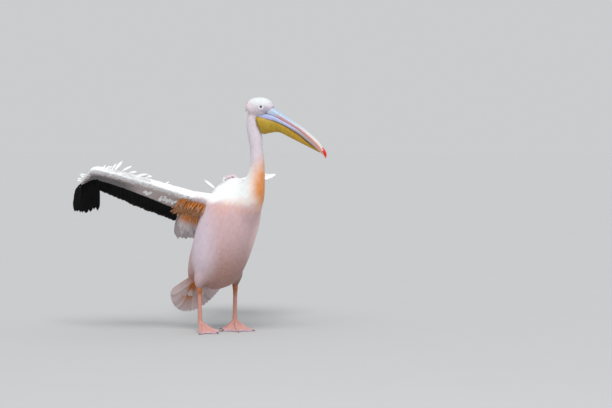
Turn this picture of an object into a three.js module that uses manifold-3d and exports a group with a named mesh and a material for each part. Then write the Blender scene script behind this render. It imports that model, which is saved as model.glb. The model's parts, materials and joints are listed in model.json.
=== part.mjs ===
// A great white pelican standing with its wings half open, life size.
// Millimetres, +Z up. The bird faces -Y and its left side is +X. The origin is on the floor, below the
// middle of the bounding box.
import * as THREE from 'three';
import { mergeVertices } from 'three/addons/utils/BufferGeometryUtils.js';
import Module from 'manifold-3d';

const wasm = await Module();
wasm.setup();

// ---- Driving dimensions ----------------------------------------------------------------------

const GAP = 0.4; // clear space between neighbouring pieces
const FLOOR = -22; // the floor's height under the line that the bird is measured from

// Trunk, rump and neck go round lines in the middle plane. Each row is [across, along Y, height,
// half width, half depth].
const TRUNK = [
  [0, 46, 188, 30, 30],
  [0, 34, 226, 86, 92],
  [0, 12, 286, 122, 128],
  [0, -22, 376, 139, 144],
  [0, -64, 478, 144, 147],
  [0, -106, 572, 138, 140],
  [0, -130, 640, 114, 119],
  [0, -142, 690, 78, 86],
  [0, -148, 722, 34, 40],
];
const RUMP = [
  [0, 40, 410, 96, 84],
  [0, 96, 322, 88, 60],
  [0, 132, 258, 70, 36],
  [0, 146, 216, 56, 16],
];
const NECK = [
  [0, -140, 500, 70, 70],
  [0, -186, 588, 82, 78],
  [0, -226, 656, 66, 69],
  [0, -250, 708, 47, 52],
  [0, -263, 752, 36, 41],
  [0, -267, 808, 31, 35],
  [0, -261, 866, 28, 32],
  [0, -252, 930, 32, 36],
  [0, -243, 980, 33, 37],
  [3, -246, 1018, 33, 37],
  [5, -262, 1046, 27, 30],
];
const NECK_BASE = { height: 752, lean: 42 }; // where the neck and trunk part, and the tilt of that cut
const NECK_MIDDLE = { height: 880, lean: 0 };
const TAIL = {
  root: [0, 136, 226],
  length: 176,
  fall: 72,
  halfRoot: 44,
  halfSpread: 58,
  feathers: 12,
  thickness: 3,
};

// Head, in its own frame: Y back, Z up, centred between the ears.
const HEAD = { at: [5, -292, 1062], turn: 27 }; // turned to the bird's left, in degrees
const CRANIUM = [
  [0, 74, 2, 7, 9],
  [0, 60, 6, 24, 29],
  [0, 36, 8, 34, 41],
  [0, 8, 6, 38, 44],
  [0, -18, 4, 36, 42],
  [0, -36, -2, 29, 31],
  [0, -50, -13, 23, 18],
  [0, -59, -19, 19, 10],
];
const CREST = [
  [0, 52, 12, 14, 13],
  [0, 72, -2, 9, 8],
  [0, 86, -18, 5, 4],
  [0, 97, -32, 2, 1.4],
];
const EYE = { radius: 7, out: 32, front: 5, up: 4 };
const UPPER_BILL = [
  [0, -44, -14, 25, 24],
  [0, -84, -36, 23, 15.5],
  [0, -133, -65, 21, 12],
  [0, -188, -98, 20, 10],
  [0, -240, -138, 21, 9.5],
  [0, -276, -173, 19, 9],
  [0, -298, -204, 12, 8],
];
const NAIL = [
  [0, -292, -192, 7, 5],
  [0, -305, -207, 8, 8],
  [0, -312, -222, 6, 7],
  [0, -313, -236, 2, 2.4],
];
const LOWER_BILL = [
  [0, 4, -38, 21, 6],
  [0, -68, -54, 23, 7],
  [0, -125, -80, 22, 7],
  [0, -181, -114, 21, 7],
  [0, -237, -161, 20, 6],
  [0, -280, -204, 14, 5],
  [0, -301, -229, 6, 3.5],
];
// The pouch hangs from the lower bill. Each row is [along Y, top, bottom, half width].
const POUCH = [
  [27, -46, -60, 20],
  [14, -44, -98, 32],
  [-6, -46, -124, 34],
  [-40, -54, -119, 28],
  [-84, -68, -116, 22],
  [-133, -94, -138, 18],
  [-178, -122, -163, 16],
  [-233, -168, -196, 13],
  [-289, -213, -226, 6],
];

// Legs. turn swings the whole foot out of straight ahead, in degrees. The toes are [name, length,
// heading outward of the foot's own line]. TOE_LINE is [reach, height over the floor, half width,
// half depth].
const LEGS = {
  right: { side: -1, ankle: [-95, 28, 30], hock: [-96, 30, 186], hip: [-54, 12, 330], turn: 3 },
  left: { side: 1, ankle: [95, -22, 30], hock: [96, -24, 190], hip: [54, -20, 330], turn: -38 },
};
const TOES = [
  ['hind', 66, -106],
  ['inner', 95, -45],
  ['middle', 124, 0],
  ['outer', 118, 42],
];
const TOE_LINE = [
  [0, 46, 9, 10],
  [0.16, 39, 8, 9],
  [0.45, 21, 7, 7.5],
  [0.74, 8, 6.8, 7],
  [0.92, 4.2, 6.6, 6.6],
  [1, 3.4, 5, 5],
];
const WEB_THICKNESS = 3;
const WEB_SCALLOP = 0.17;
const CLAW_LENGTH = 15;

// Wings. Headings are degrees inward of straight back, falls degrees below level. Each law runs from
// the shoulder (0) over the wrist (1) to the fingertip (2).
const ARM_SPAN = 582;
const HAND_LENGTH = 206;
const SHOULDER = [104, -86, 646];
const ELBOW = 0.42;
const STATIONS = [0, 0.25, 0.5, 0.75, 1, 1.5, 2];
const COVERT_LENGTH = [160, 205, 226, 216, 188, 132, 62];
const ARM_THICKNESS = [66, 58, 50, 46, 42, 32, 15];
// Flight feathers: where they start and end along the wing, how many, the depth of the notches
// between their tips, their camber, and their reach from the front edge.
const FLIGHT = {
  tertials: { from: 0.05, to: 0.27, feathers: 6, notch: 0.09, camber: 10, reach: [330, 385] },
  secondaries: { from: 0.27, to: 1, feathers: 12, notch: 0.04, camber: 9, reach: [392, 415, 385] },
  primaries: { from: 1, to: 2, feathers: 10, notch: 0.1, camber: 7, reach: [385, 442, 440] },
};
const WINGS = {
  right: {
    side: -1,
    sweep: 36,
    raise: 13.8,
    hand: { inward: 17, fall: 23 },
    inward: [11, 28, 36, 40, 44, 40, 36],
    covertFall: [40, 32, 25, 22, 22, 22, 22],
    flight: { tertials: [34, 43, 36, 42], secondaries: [37, 27, 44, 19], primaries: [44, 35, 36, 20] },
  },
  left: {
    side: 1,
    sweep: 28.5,
    raise: 8,
    hand: { inward: 3, fall: 17 },
    inward: [2, 8, 13, 18, 23, 26, 28],
    covertFall: [-4, -1, 2, 4, 7, 12, 17],
    flight: { tertials: [-4, 10, 4, 13], secondaries: [4, 14, 22, 17], primaries: [25, 20, 7, 25] },
  },
};

const COLOURS = {
  plumage: { color: 0xf0d9d0, roughness: 0.9 },
  flight: { color: 0x17161a, roughness: 0.6 },
  tertial: { color: 0xd9c3b2, roughness: 0.85 },
  leg: { color: 0xe8927a, roughness: 0.55 },
  claw: { color: 0x8a6a5a, roughness: 0.4 },
  bill: { color: 0xb4b6c8, roughness: 0.4 },
  nail: { color: 0xe2402c, roughness: 0.4 },
  pouch: { color: 0xd8ae3a, roughness: 0.5 },
  eye: { color: 0x14100e, roughness: 0.1 },
};

// ---- Shapes ----------------------------------------------------------------------------------

const vec = (x, y, z) => new THREE.Vector3(x, y, z);
const rad = THREE.MathUtils.degToRad;

// A smooth curve through values that stand evenly spaced from 0 to 1.
function law(values) {
  const curve = new THREE.SplineCurve(values.map((value, i) => new THREE.Vector2(i, value)));
  return (t) => curve.getPoint(THREE.MathUtils.clamp(t, 0, 1)).y;
}

// The same over the wing's stations, which aren't evenly spaced.
function wingLaw(values) {
  return (s) => {
    const last = STATIONS.findIndex((station) => station >= s);
    const i = Math.max(1, last < 0 ? STATIONS.length - 1 : last);
    const share = (s - STATIONS[i - 1]) / (STATIONS[i] - STATIONS[i - 1]);
    return THREE.MathUtils.lerp(values[i - 1], values[i], share);
  };
}

// A closed body on the net of a sphere: ring(t, turn) is the point at t along it and turn round it,
// both 0 to 1, and core(t) closes each end.
function ringBody(rings, sides, ring, core) {
  const geometry = new THREE.SphereGeometry(1, sides, rings + 1);
  const { position, uv } = geometry.attributes;
  for (let i = 0; i < position.count; i++) {
    const row = Math.round((1 - uv.getY(i)) * (rings + 1));
    const t = THREE.MathUtils.clamp((row - 1) / (rings - 1), 0, 1);
    const point = row === 0 || row === rings + 1 ? core(t) : ring(t, uv.getX(i) % 1);
    position.setXYZ(i, point.x, point.y, point.z);
  }
  return geometry;
}

// A body round a smooth line, from rows of [x, y, z, half width, half depth]. A ridge above 0 narrows
// its upper side.
function sweep(rows, { rings = 14, sides = 16, ridge = 0 } = {}) {
  const stops = rows.map((row) => vec(row[0], row[1], row[2]));
  const line = new THREE.CatmullRomCurve3(stops, false, 'catmullrom');
  const halfWidth = law(rows.map((row) => row[3]));
  const halfDepth = law(rows.map((row) => row[4]));
  const ring = (t, turn) => {
    const along = line.getTangent(t);
    const across = vec(1, 0, 0).addScaledVector(along, -along.x).normalize();
    const upward = along.clone().cross(across);
    const c = Math.cos(turn * 2 * Math.PI);
    const s = Math.sin(turn * 2 * Math.PI);
    const wide = halfWidth(t) * c * (1 - ridge * Math.max(0, s));
    return line.getPoint(t).addScaledVector(across, wide).addScaledVector(upward, halfDepth(t) * s);
  };
  return ringBody(rings, sides, ring, (t) => line.getPoint(t));
}

// A thin plate on the net of a box: place(s, t) is its middle surface, and thick(t) its thickness.
function plate(columns, rows, place, thick) {
  const geometry = new THREE.BoxGeometry(1, 1, 1, columns, rows, 1);
  const { position } = geometry.attributes;
  const step = 1e-3;
  for (let i = 0; i < position.count; i++) {
    const s = position.getX(i) + 0.5;
    const t = position.getY(i) + 0.5;
    const point = place(s, t);
    const alongS = place(Math.min(1, s + step), t).sub(place(Math.max(0, s - step), t));
    const alongT = place(s, Math.min(1, t + step)).sub(place(s, Math.max(0, t - step)));
    point.addScaledVector(alongS.cross(alongT).normalize(), position.getZ(i) * thick(t));
    position.setXYZ(i, point.x, point.y, point.z);
  }
  return geometry;
}

// How far a row of rounded feather tips reaches at s, as a share of the full length.
function tips(s, feathers, notch) {
  const inFeather = (s * feathers) % 1;
  return 1 - notch * Math.abs(2 * inFeather - 1) ** 2.2;
}

// ---- Solids ----------------------------------------------------------------------------------

function bare(geometry) {
  const copy = geometry.clone();
  copy.deleteAttribute('normal');
  copy.deleteAttribute('uv');
  return mergeVertices(copy, 1e-3);
}

function solidOf(geometry) {
  const merged = bare(geometry);
  const vertProperties = merged.attributes.position.array;
  const make = (triVerts) => new wasm.Manifold(new wasm.Mesh({ numProp: 3, vertProperties, triVerts }));
  const triVerts = new Uint32Array(merged.index.array);
  const made = make(triVerts);
  return made.volume() > 0 ? made : make(triVerts.toReversed());
}

function geometryOf(solid) {
  const { vertProperties, triVerts, numProp } = solid.getMesh();
  if (numProp !== 3) throw new Error('a solid carries more than its points');
  return new THREE.BufferGeometry()
    .setAttribute('position', new THREE.BufferAttribute(vertProperties, 3))
    .setIndex(new THREE.BufferAttribute(triVerts, 1));
}

// The solid with its surface moved out by GAP, to cut room for it in a neighbour.
function swollen(solid) {
  const geometry = geometryOf(solid);
  geometry.computeVertexNormals();
  const { position, normal } = geometry.attributes;
  for (let i = 0; i < position.count; i++)
    position.setXYZ(
      i,
      position.getX(i) + GAP * normal.getX(i),
      position.getY(i) + GAP * normal.getY(i),
      position.getZ(i) + GAP * normal.getZ(i),
    );
  return solidOf(geometry);
}

// Without the neighbours, and without the crumbs that a cut may leave.
function carve(solid, ...neighbours) {
  const without = (left, neighbour) => left.subtract(swollen(neighbour)).subtract(neighbour);
  const cut = neighbours.reduce(without, solid);
  return cut.decompose().reduce((best, piece) => (piece.volume() > best.volume() ? piece : best));
}

const join = (...solids) => solids.reduce((all, solid) => all.add(solid));

// The part of a solid above (1) or below (-1) a cut across the neck.
function parted(solid, cut, side) {
  const i = NECK.findIndex((row) => row[2] >= cut.height);
  const [low, high] = [NECK[i - 1], NECK[i]];
  const y = THREE.MathUtils.mapLinear(cut.height, low[2], high[2], low[1], high[1]);
  const normal = vec(0, -Math.sin(rad(cut.lean)), Math.cos(rad(cut.lean)));
  const height = y * normal.y + cut.height * normal.z;
  return solid.trimByPlane(normal.multiplyScalar(side).toArray(), side * height + GAP / 2);
}

// ---- The bird --------------------------------------------------------------------------------

const bird = new THREE.Group();

function addPiece(name, solid, colour) {
  const material = new THREE.MeshStandardMaterial({ ...COLOURS[colour], metalness: 0 });
  const mesh = new THREE.Mesh(geometryOf(solid), material);
  mesh.name = name;
  bird.add(mesh);
}

const headFrame = new THREE.Matrix4().makeRotationZ(rad(HEAD.turn)).setPosition(...HEAD.at);
const onHead = (geometry) => solidOf(geometry.applyMatrix4(headFrame));

function makeBody() {
  const trunk = solidOf(sweep(TRUNK, { rings: 13, sides: 18 }));
  const rump = solidOf(sweep(RUMP, { rings: 7, sides: 14 }));
  const neck = solidOf(sweep(NECK, { rings: 16, sides: 14 }));
  const whole = join(trunk, rump, neck);
  return { trunk: parted(whole, NECK_BASE, -1), neck: parted(whole, NECK_BASE, 1) };
}

function makeTail(trunk) {
  const { root, length, fall, halfRoot, halfSpread, feathers, thickness } = TAIL;
  const place = (s, t) => {
    const spread = rad(halfSpread) * (2 * s - 1);
    const reach = t * length * tips(s, feathers, 0.05) * (0.86 + 0.14 * Math.cos(spread * 2));
    const out = halfRoot * (2 * s - 1) + reach * Math.sin(spread);
    const back = reach * Math.cos(spread);
    const arch = 14 * (1 - (2 * s - 1) ** 2);
    const away = back * Math.cos(rad(fall)) + arch;
    return vec(out, root[1] + away, root[2] - back * Math.sin(rad(fall)) + arch / 2);
  };
  const fan = plate(feathers * 2, 2, place, (t) => thickness * (1.2 - 0.7 * t));
  return carve(solidOf(fan), trunk);
}

function makePouch() {
  const columns = [0, 1, 2, 3].map((column) => law(POUCH.map((row) => row[column])));
  const [along, top, bottom, halfWidth] = columns;
  const middle = (t) => vec(0, along(t), (top(t) + bottom(t)) / 2);
  const ring = (t, turn) => {
    const up = Math.cos(turn * 2 * Math.PI);
    const out = Math.sin(turn * 2 * Math.PI) * (0.76 + 0.24 * up);
    return middle(t).add(vec(halfWidth(t) * out, 0, (up * (top(t) - bottom(t))) / 2));
  };
  return onHead(ringBody(11, 12, ring, middle));
}

function makeHead(body) {
  const nail = onHead(sweep(NAIL, { rings: 6, sides: 8 }));
  const upper = carve(onHead(sweep(UPPER_BILL, { rings: 11, sides: 10, ridge: 0.3 })), nail);
  const lower = carve(onHead(sweep(LOWER_BILL, { rings: 12, sides: 8 })), upper, nail);
  const pouch = carve(makePouch(), lower, upper, nail);
  const eyes = [-1, 1].map((side) => {
    const ball = new THREE.SphereGeometry(EYE.radius, 10, 6);
    return onHead(ball.translate(side * EYE.out, -EYE.front, EYE.up));
  });
  const cranium = onHead(sweep(CRANIUM, { rings: 11, sides: 14 }));
  const head = carve(cranium, ...eyes, upper, lower, pouch);
  const crest = carve(onHead(sweep(CREST, { rings: 6, sides: 6 })), head);
  const neck = carve(body.neck, head, pouch, lower, crest);
  return { nail, upper, lower, pouch, eyes, head, crest, neck };
}

// One toe's direction, and the point at a reach (0 to 1) along it.
function toeOf(leg, [name, length, heading]) {
  const angle = rad(heading + leg.turn);
  const ahead = vec(leg.side * Math.sin(angle), -Math.cos(angle), 0);
  const point = (reach, height) => [
    leg.ankle[0] + ahead.x * length * reach,
    leg.ankle[1] + ahead.y * length * reach,
    FLOOR + height,
  ];
  return { name, length, point };
}

// The web that spans the toes, hung a little under their middle lines and cut in between their tips.
function makeWeb(toes) {
  const reachOf = law(TOE_LINE.map((row) => row[0]));
  const heightOf = law(TOE_LINE.map((row) => row[1]));
  const place = (s, t) => {
    const x = Math.min(s * (toes.length - 1), toes.length - 1.0001);
    const [inner, outer] = [toes[Math.floor(x)], toes[Math.floor(x) + 1]];
    const between = x % 1;
    const scallop = 1 - WEB_SCALLOP * (1 - (2 * between - 1) ** 2) * t;
    const reach = reachOf(t) * 0.96 * scallop;
    const height = heightOf(t) - 3 * t * (1 - t) - 1 + 3 * (1 - scallop);
    const from = vec(...inner.point(reach, height));
    return from.lerp(vec(...outer.point(reach, height)), between);
  };
  return solidOf(plate((toes.length - 1) * 2, 3, place, () => WEB_THICKNESS));
}

function makeLeg(leg, trunk) {
  const [ax, ay, az] = leg.ankle;
  const [kx, ky, kz] = leg.hock;
  const [hx, hy, hz] = leg.hip;
  const thigh = sweep(
    [
      [hx, hy, hz, 40, 52],
      [(hx + 2 * kx) / 3, (hy + ky) / 2 - 6, 266, 42, 54],
      [kx, ky, 226, 27, 33],
      [kx, ky, kz + 6, 13, 16],
    ],
    { rings: 7, sides: 10 },
  );
  const shank = sweep(
    [
      [kx, ky, kz + 22, 10, 12],
      [kx, ky, kz, 12.5, 15],
      [kx, ky, kz - 24, 9.5, 12],
      [(ax + kx) / 2, (ay + ky) / 2, (az + kz) / 2, 9, 11.5],
      [ax, ay, az + 18, 9.5, 12],
      [ax, ay, az - 6, 12, 14],
    ],
    { rings: 9, sides: 8 },
  );
  const toes = TOES.map((toe) => toeOf(leg, toe));
  const toeBodies = toes.map((toe) => {
    const rows = TOE_LINE.map(([reach, height, wide, deep]) => [...toe.point(reach, height), wide, deep]);
    return solidOf(sweep(rows, { rings: 5, sides: 6 }));
  });
  const claws = toes.map((toe) => {
    const start = 1 - 7 / toe.length;
    const end = 1 + CLAW_LENGTH / toe.length;
    const rows = [
      [...toe.point(start, 6.6), 3, 3],
      [...toe.point((start + end) / 2, 6.8), 2.6, 3],
      [...toe.point(end, 2.2), 0.8, 1],
    ];
    return [toe.name, solidOf(sweep(rows, { rings: 3, sides: 6 })).trimByPlane([0, 0, 1], FLOOR)];
  });
  const shankSolid = solidOf(shank);
  const sole = join(...toeBodies, makeWeb(toes)).trimByPlane([0, 0, 1], FLOOR);
  const foot = carve(sole, shankSolid, ...claws.map(([, claw]) => claw));
  return { thigh: carve(solidOf(thigh), trunk, shankSolid), shank: shankSolid, foot, claws };
}

// The wing's line outward, its front edge, its chord, the edge of its coverts, and a direction from a
// heading and fall.
function wingFrame(wing) {
  const direction = (heading, fall) =>
    vec(
      -wing.side * Math.sin(rad(heading)) * Math.cos(rad(fall)),
      Math.cos(rad(heading)) * Math.cos(rad(fall)),
      -Math.sin(rad(fall)),
    );
  const shoulder = vec(wing.side * SHOULDER[0], SHOULDER[1], SHOULDER[2]);
  const outward = vec(
    wing.side * Math.cos(rad(wing.sweep)) * Math.cos(rad(wing.raise)),
    Math.sin(rad(wing.sweep)) * Math.cos(rad(wing.raise)),
    Math.sin(rad(wing.raise)),
  );
  const wrist = shoulder.clone().addScaledVector(outward, ARM_SPAN);
  const fingertip = wrist.clone().addScaledVector(direction(wing.hand.inward, wing.hand.fall), HAND_LENGTH);
  const edge = new THREE.CatmullRomCurve3(
    [
      shoulder,
      shoulder.clone().lerp(wrist, 0.33).add(vec(0, 4, 2)),
      shoulder.clone().lerp(wrist, 0.67).add(vec(0, 0, 4)),
      wrist,
      wrist.clone().lerp(fingertip, 0.5).add(vec(wing.side * 8, 0, 6)),
      fingertip,
    ],
    false,
    'catmullrom',
  );
  const front = (s) => edge.getPoint(s <= 1 ? s * 0.6 : 0.6 + (s - 1) * 0.4);
  const inward = wingLaw(wing.inward);
  const covertFall = wingLaw(wing.covertFall);
  const covertLength = wingLaw(COVERT_LENGTH);
  const chord = (s) => direction(inward(s), covertFall(s));
  const coverts = (s) => front(s).addScaledVector(chord(s), covertLength(s));
  return { outward, direction, front, chord, coverts, covertLength };
}

// A length of the wing's fleshy front part, with a rounded front edge and a thin rear one.
function makeArm(frame, from, to, rings) {
  const thickness = wingLaw(ARM_THICKNESS);
  const place = (s, back, up) => {
    const chord = frame.chord(s);
    const upward = frame.outward.clone().cross(chord).normalize();
    if (upward.z < 0) upward.negate();
    return frame
      .front(s)
      .addScaledVector(chord, back * frame.covertLength(s))
      .addScaledVector(upward, up * thickness(s));
  };
  const ring = (t, turn) => {
    const angle = turn * 2 * Math.PI;
    const back = (1 - Math.cos(angle)) / 2;
    const rounding = Math.min(1, 1.9 * Math.sqrt(back) * (1 - back) + 0.16 * back);
    return place(THREE.MathUtils.lerp(from, to, t), back, (Math.sign(Math.sin(angle)) * rounding) / 2);
  };
  return solidOf(ringBody(rings, 12, ring, (t) => place(THREE.MathUtils.lerp(from, to, t), 0.35, 0)));
}

// Rows of flight feathers as one plate. The pose gives heading and fall at the row's start, then at
// its end.
function makeFlight(frame, { from, to, feathers, notch, camber, reach }, pose) {
  const room = GAP / ARM_SPAN;
  const reachOf = law(reach);
  const place = (x, t) => {
    const s = THREE.MathUtils.lerp(from + room, to - room, x);
    const root = frame.coverts(s);
    const heading = THREE.MathUtils.lerp(pose[0], pose[2], x);
    const way = frame.direction(heading, THREE.MathUtils.lerp(pose[1], pose[3], x));
    const tip = frame.front(s).addScaledVector(way, reachOf(x));
    const start = GAP / root.distanceTo(tip);
    const share = start + (tips(x, feathers, notch) - start) * t;
    return root.lerp(tip, share).add(vec(0, 0, 4 * camber * share * (1 - share)));
  };
  return solidOf(plate(feathers * 2, 2, place, (t) => 4 - 2.4 * t));
}

function makeWing(name, wing, trunk) {
  const frame = wingFrame(wing);
  const room = GAP / ARM_SPAN / 2;
  const upperArm = makeArm(frame, 0, ELBOW - room, 5);
  const forearm = makeArm(frame, ELBOW + room, 1 - room, 6);
  const hand = makeArm(frame, 1 + 2 * room, 2, 6);
  addPiece(`upper_arm_${name}`, carve(upperArm, trunk), 'plumage');
  addPiece(`forearm_${name}`, forearm, 'plumage');
  addPiece(`hand_${name}`, hand, 'plumage');
  const neighbours = [trunk, upperArm, forearm, hand];
  for (const [row, shape] of Object.entries(FLIGHT)) {
    const flight = carve(makeFlight(frame, shape, wing.flight[row]), ...neighbours);
    addPiece(`${row}_${name}`, flight, row === 'tertials' ? 'tertial' : 'flight');
    neighbours.push(flight);
  }
}

const body = makeBody();
const head = makeHead(body);
addPiece('trunk', body.trunk, 'plumage');
addPiece('neck_lower', parted(head.neck, NECK_MIDDLE, -1), 'plumage');
addPiece('neck_upper', parted(head.neck, NECK_MIDDLE, 1), 'plumage');
addPiece('head', head.head, 'plumage');
addPiece('crest', head.crest, 'plumage');
addPiece('eye_right', head.eyes[0], 'eye');
addPiece('eye_left', head.eyes[1], 'eye');
addPiece('bill_upper', head.upper, 'bill');
addPiece('bill_lower', head.lower, 'bill');
addPiece('bill_nail', head.nail, 'nail');
addPiece('pouch', head.pouch, 'pouch');
addPiece('tail', makeTail(body.trunk), 'plumage');
for (const [name, leg] of Object.entries(LEGS)) {
  const made = makeLeg(leg, body.trunk);
  addPiece(`thigh_${name}`, made.thigh, 'plumage');
  addPiece(`shank_${name}`, made.shank, 'leg');
  addPiece(`foot_${name}`, made.foot, 'leg');
  for (const [toe, claw] of made.claws) addPiece(`claw_${toe}_${name}`, claw, 'claw');
}
for (const [name, wing] of Object.entries(WINGS)) makeWing(name, wing, body.trunk);

// Set the origin below the middle of the box.
const box = new THREE.Box3().setFromObject(bird);
const middle = box.getCenter(vec(0, 0, 0));
bird.position.set(-middle.x, -middle.y, -box.min.z);

export default bird;
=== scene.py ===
"""A great white pelican with its wings half open, dressed for display.

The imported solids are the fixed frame. One skin takes the place of the flesh, overlapping feathers lie
over it, and the bill, pouch, eyes, legs and claws are pieces of their own.
"""

import json
import math

import bmesh
import bpy
import numpy as np
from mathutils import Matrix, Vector
from mathutils.bvhtree import BVHTree
from mathutils.kdtree import KDTree

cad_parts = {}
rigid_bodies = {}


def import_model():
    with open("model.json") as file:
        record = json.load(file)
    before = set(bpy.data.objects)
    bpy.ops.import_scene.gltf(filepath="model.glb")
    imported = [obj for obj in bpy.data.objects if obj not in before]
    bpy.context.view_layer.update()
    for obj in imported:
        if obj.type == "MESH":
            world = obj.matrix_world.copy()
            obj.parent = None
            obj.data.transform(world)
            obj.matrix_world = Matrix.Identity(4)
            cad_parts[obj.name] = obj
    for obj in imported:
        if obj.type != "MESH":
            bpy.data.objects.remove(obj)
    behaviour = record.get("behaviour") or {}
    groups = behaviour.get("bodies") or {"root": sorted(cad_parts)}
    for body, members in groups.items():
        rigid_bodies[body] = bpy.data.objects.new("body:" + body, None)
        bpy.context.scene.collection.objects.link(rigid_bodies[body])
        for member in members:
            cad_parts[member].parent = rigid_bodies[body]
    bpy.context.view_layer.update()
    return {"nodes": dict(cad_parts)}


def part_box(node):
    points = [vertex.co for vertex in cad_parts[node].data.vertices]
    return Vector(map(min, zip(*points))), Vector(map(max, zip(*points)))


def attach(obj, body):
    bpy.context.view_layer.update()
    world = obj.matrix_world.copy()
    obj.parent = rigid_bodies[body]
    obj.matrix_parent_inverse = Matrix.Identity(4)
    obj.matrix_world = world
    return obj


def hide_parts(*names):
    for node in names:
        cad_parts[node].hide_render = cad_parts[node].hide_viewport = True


bl_info = {
    "name": "Standing Pelican",
    "version": (1, 0, 0),
    "blender": (4, 5, 0),
    "location": "3D View > Sidebar > Pelican",
    "description": "Dresses the packed pelican in skin, feathers and horn, and sets its stage",
    "category": "Object",
}

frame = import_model()
NODES = frame["nodes"]

# ---- The bird's own frame: millimetres, chest towards -Y, left side +X -------------------------

MM = 0.001
SIDES = {"right": -1, "left": 1}
HEAD_AT = np.array([5.0, -292.0, 1062.0])
# The head's turn to the bird's own left.
HEAD_COS, HEAD_SIN = math.cos(math.radians(27)), math.sin(math.radians(27))
EYE_RADIUS = 7.0
EYE_OUT, EYE_FRONT, EYE_UP = 32.0, 5.0, 4.0

# Middle lines that the feathers follow, from the crown to the tail: [across, along, height].
NECK_LINE = [
    [5, -262, 1046], [3, -246, 1018], [0, -243, 980], [0, -252, 930], [0, -261, 866], [0, -267, 808],
    [0, -263, 752],
]
TRUNK_LINE = [
    [0, -263, 752], [0, -200, 690], [0, -130, 600], [0, -64, 478], [0, -22, 376], [0, 40, 290], [0, 120, 236],
    [0, 200, 120],
]

# Bill rows, in the head's frame (Y back, Z up): [across, along, height, half width, half depth].
UPPER_BILL = [
    [0, -38, -12, 24, 21], [0, -84, -36, 23, 15.5], [0, -133, -65, 21, 12], [0, -188, -98, 20, 10],
    [0, -240, -139, 21, 10], [0, -276, -174, 18, 9.5], [0, -300, -206, 11, 7.5],
]
LOWER_BILL = [
    [0, 18, -38, 15, 4], [0, -24, -42, 21, 11], [0, -70, -54, 23, 9], [0, -125, -80, 22, 7],
    [0, -181, -113, 21, 7.5], [0, -238, -157, 20, 7.5], [0, -280, -193, 14, 7], [0, -303, -218, 6, 5],
]
NAIL = [[0, -284, -183, 11, 5], [0, -300, -201, 10, 8.5], [0, -310, -219, 7, 7.4], [0, -313, -237, 2, 2.4]]
# Pouch rows, in the head's frame: [along, top, bottom, half width].
POUCH = [
    [27, -46, -60, 20], [14, -44, -98, 32], [-6, -46, -124, 34], [-40, -54, -119, 28], [-84, -68, -116, 22],
    [-133, -94, -138, 18], [-178, -122, -160, 15], [-233, -167, -187, 10], [-286, -204, -213, 3],
]

# Wings: degrees inward of straight back and below level, from the shoulder (0) to the fingertip (2).
ARM_SPAN, HAND_LENGTH = 582.0, 206.0
SHOULDER = (104, -86, 646)
STATIONS = [0, 0.25, 0.5, 0.75, 1, 1.5, 2]
COVERT_LENGTH = [160, 205, 226, 216, 188, 132, 62]
WINGS = {
    "right": {
        "sweep": 36, "raise": 13.8, "hand": (17, 23),
        "inward": [11, 28, 36, 40, 44, 40, 36], "fall": [40, 32, 25, 22, 22, 22, 22],
        "tertials": [34, 43, 36, 42], "secondaries": [37, 27, 44, 19], "primaries": [44, 35, 36, 20],
    },
    "left": {
        "sweep": 28.5, "raise": 8, "hand": (3, 17),
        "inward": [2, 8, 13, 18, 23, 26, 28], "fall": [-4, -1, 2, 4, 7, 12, 17],
        "tertials": [-4, 10, 4, 13], "secondaries": [4, 14, 22, 17], "primaries": [25, 20, 7, 25],
    },
}
# Each row of flight feathers: where it starts and ends, its count, reach, camber and half width.
FLIGHT = {
    "tertials": dict(start=0.05, end=0.27, count=7, reach=[330, 385], camber=10, half_width=27),
    "secondaries": dict(start=0.27, end=1, count=21, reach=[392, 415, 385], camber=9, half_width=21),
    "primaries": dict(start=1, end=2, count=10, reach=[385, 442, 440], camber=7, half_width=22),
}
TAIL_ROOT = (0, 136, 226)
TAIL_LENGTH, TAIL_FALL, TAIL_HALF_ROOT, TAIL_HALF_SPREAD = 176, 72, 44, 58
TAIL_COUNT, TAIL_COVERTS = 22, 16

# How the coat lies on each part of the skin: feather length, spacing and depth over the skin.
COAT = {
    "trunk": (44, 8.2, 1.7),
    "neck_lower": (27, 5.8, 1.4),
    "neck_upper": (18, 4.3, 1.2),
    "head": (9, 2.9, 0.9),
    "thigh": (44, 7.2, 2.6),
    "wing": (38, 11.5, 2.2),
}


def law(rows):
    """A smooth path through rows that stand evenly spaced from 0 to 1."""
    knots = np.array(rows, float)
    last = len(knots) - 1

    def at(t):
        x = min(max(t, 0.0), 1.0) * last
        i = min(int(x), last - 1)
        f = x - i
        before, start, end, after = (knots[min(max(i + k, 0), last)] for k in (-1, 0, 1, 2))
        leave, arrive = (end - before) / 2, (after - start) / 2
        bend = (2 * start - 2 * end + leave + arrive) * f**3
        return bend + (3 * end - 3 * start - 2 * leave - arrive) * f**2 + leave * f + start

    return at


def unit(vector):
    return vector / np.linalg.norm(vector)


def ahead_on(line, t, step=0.02):
    """Which way a line runs at t."""
    return unit(line(min(t + step, 1)) - line(max(t - step, 0)))


def on_circle(turn):
    return math.cos(turn * math.tau), math.sin(turn * math.tau)


def ring_share(along, rings):
    """How far along a closed tube a ring stands, its first and last rings being its ends."""
    return min(max((along * (rings + 2) - 1) / rings, 0), 1)


def turned(point):
    """A direction in the head's frame, in the bird's."""
    x, y, z = point
    return np.array([HEAD_COS * x - HEAD_SIN * y, HEAD_SIN * x + HEAD_COS * y, z])


def bird_origin():
    """Where the bird's own origin stands in the row frame, found from its eyes."""
    corners = [np.array(corner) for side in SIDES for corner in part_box(f"eye_{side}")]
    return sum(corners) / 4 - (HEAD_AT + turned((0, -EYE_FRONT, EYE_UP))) * MM


ORIGIN = bird_origin()


def to_row(point):
    return Vector(ORIGIN + np.asarray(point, float) * MM)


def on_head(point):
    return to_row(HEAD_AT + turned(point))


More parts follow.
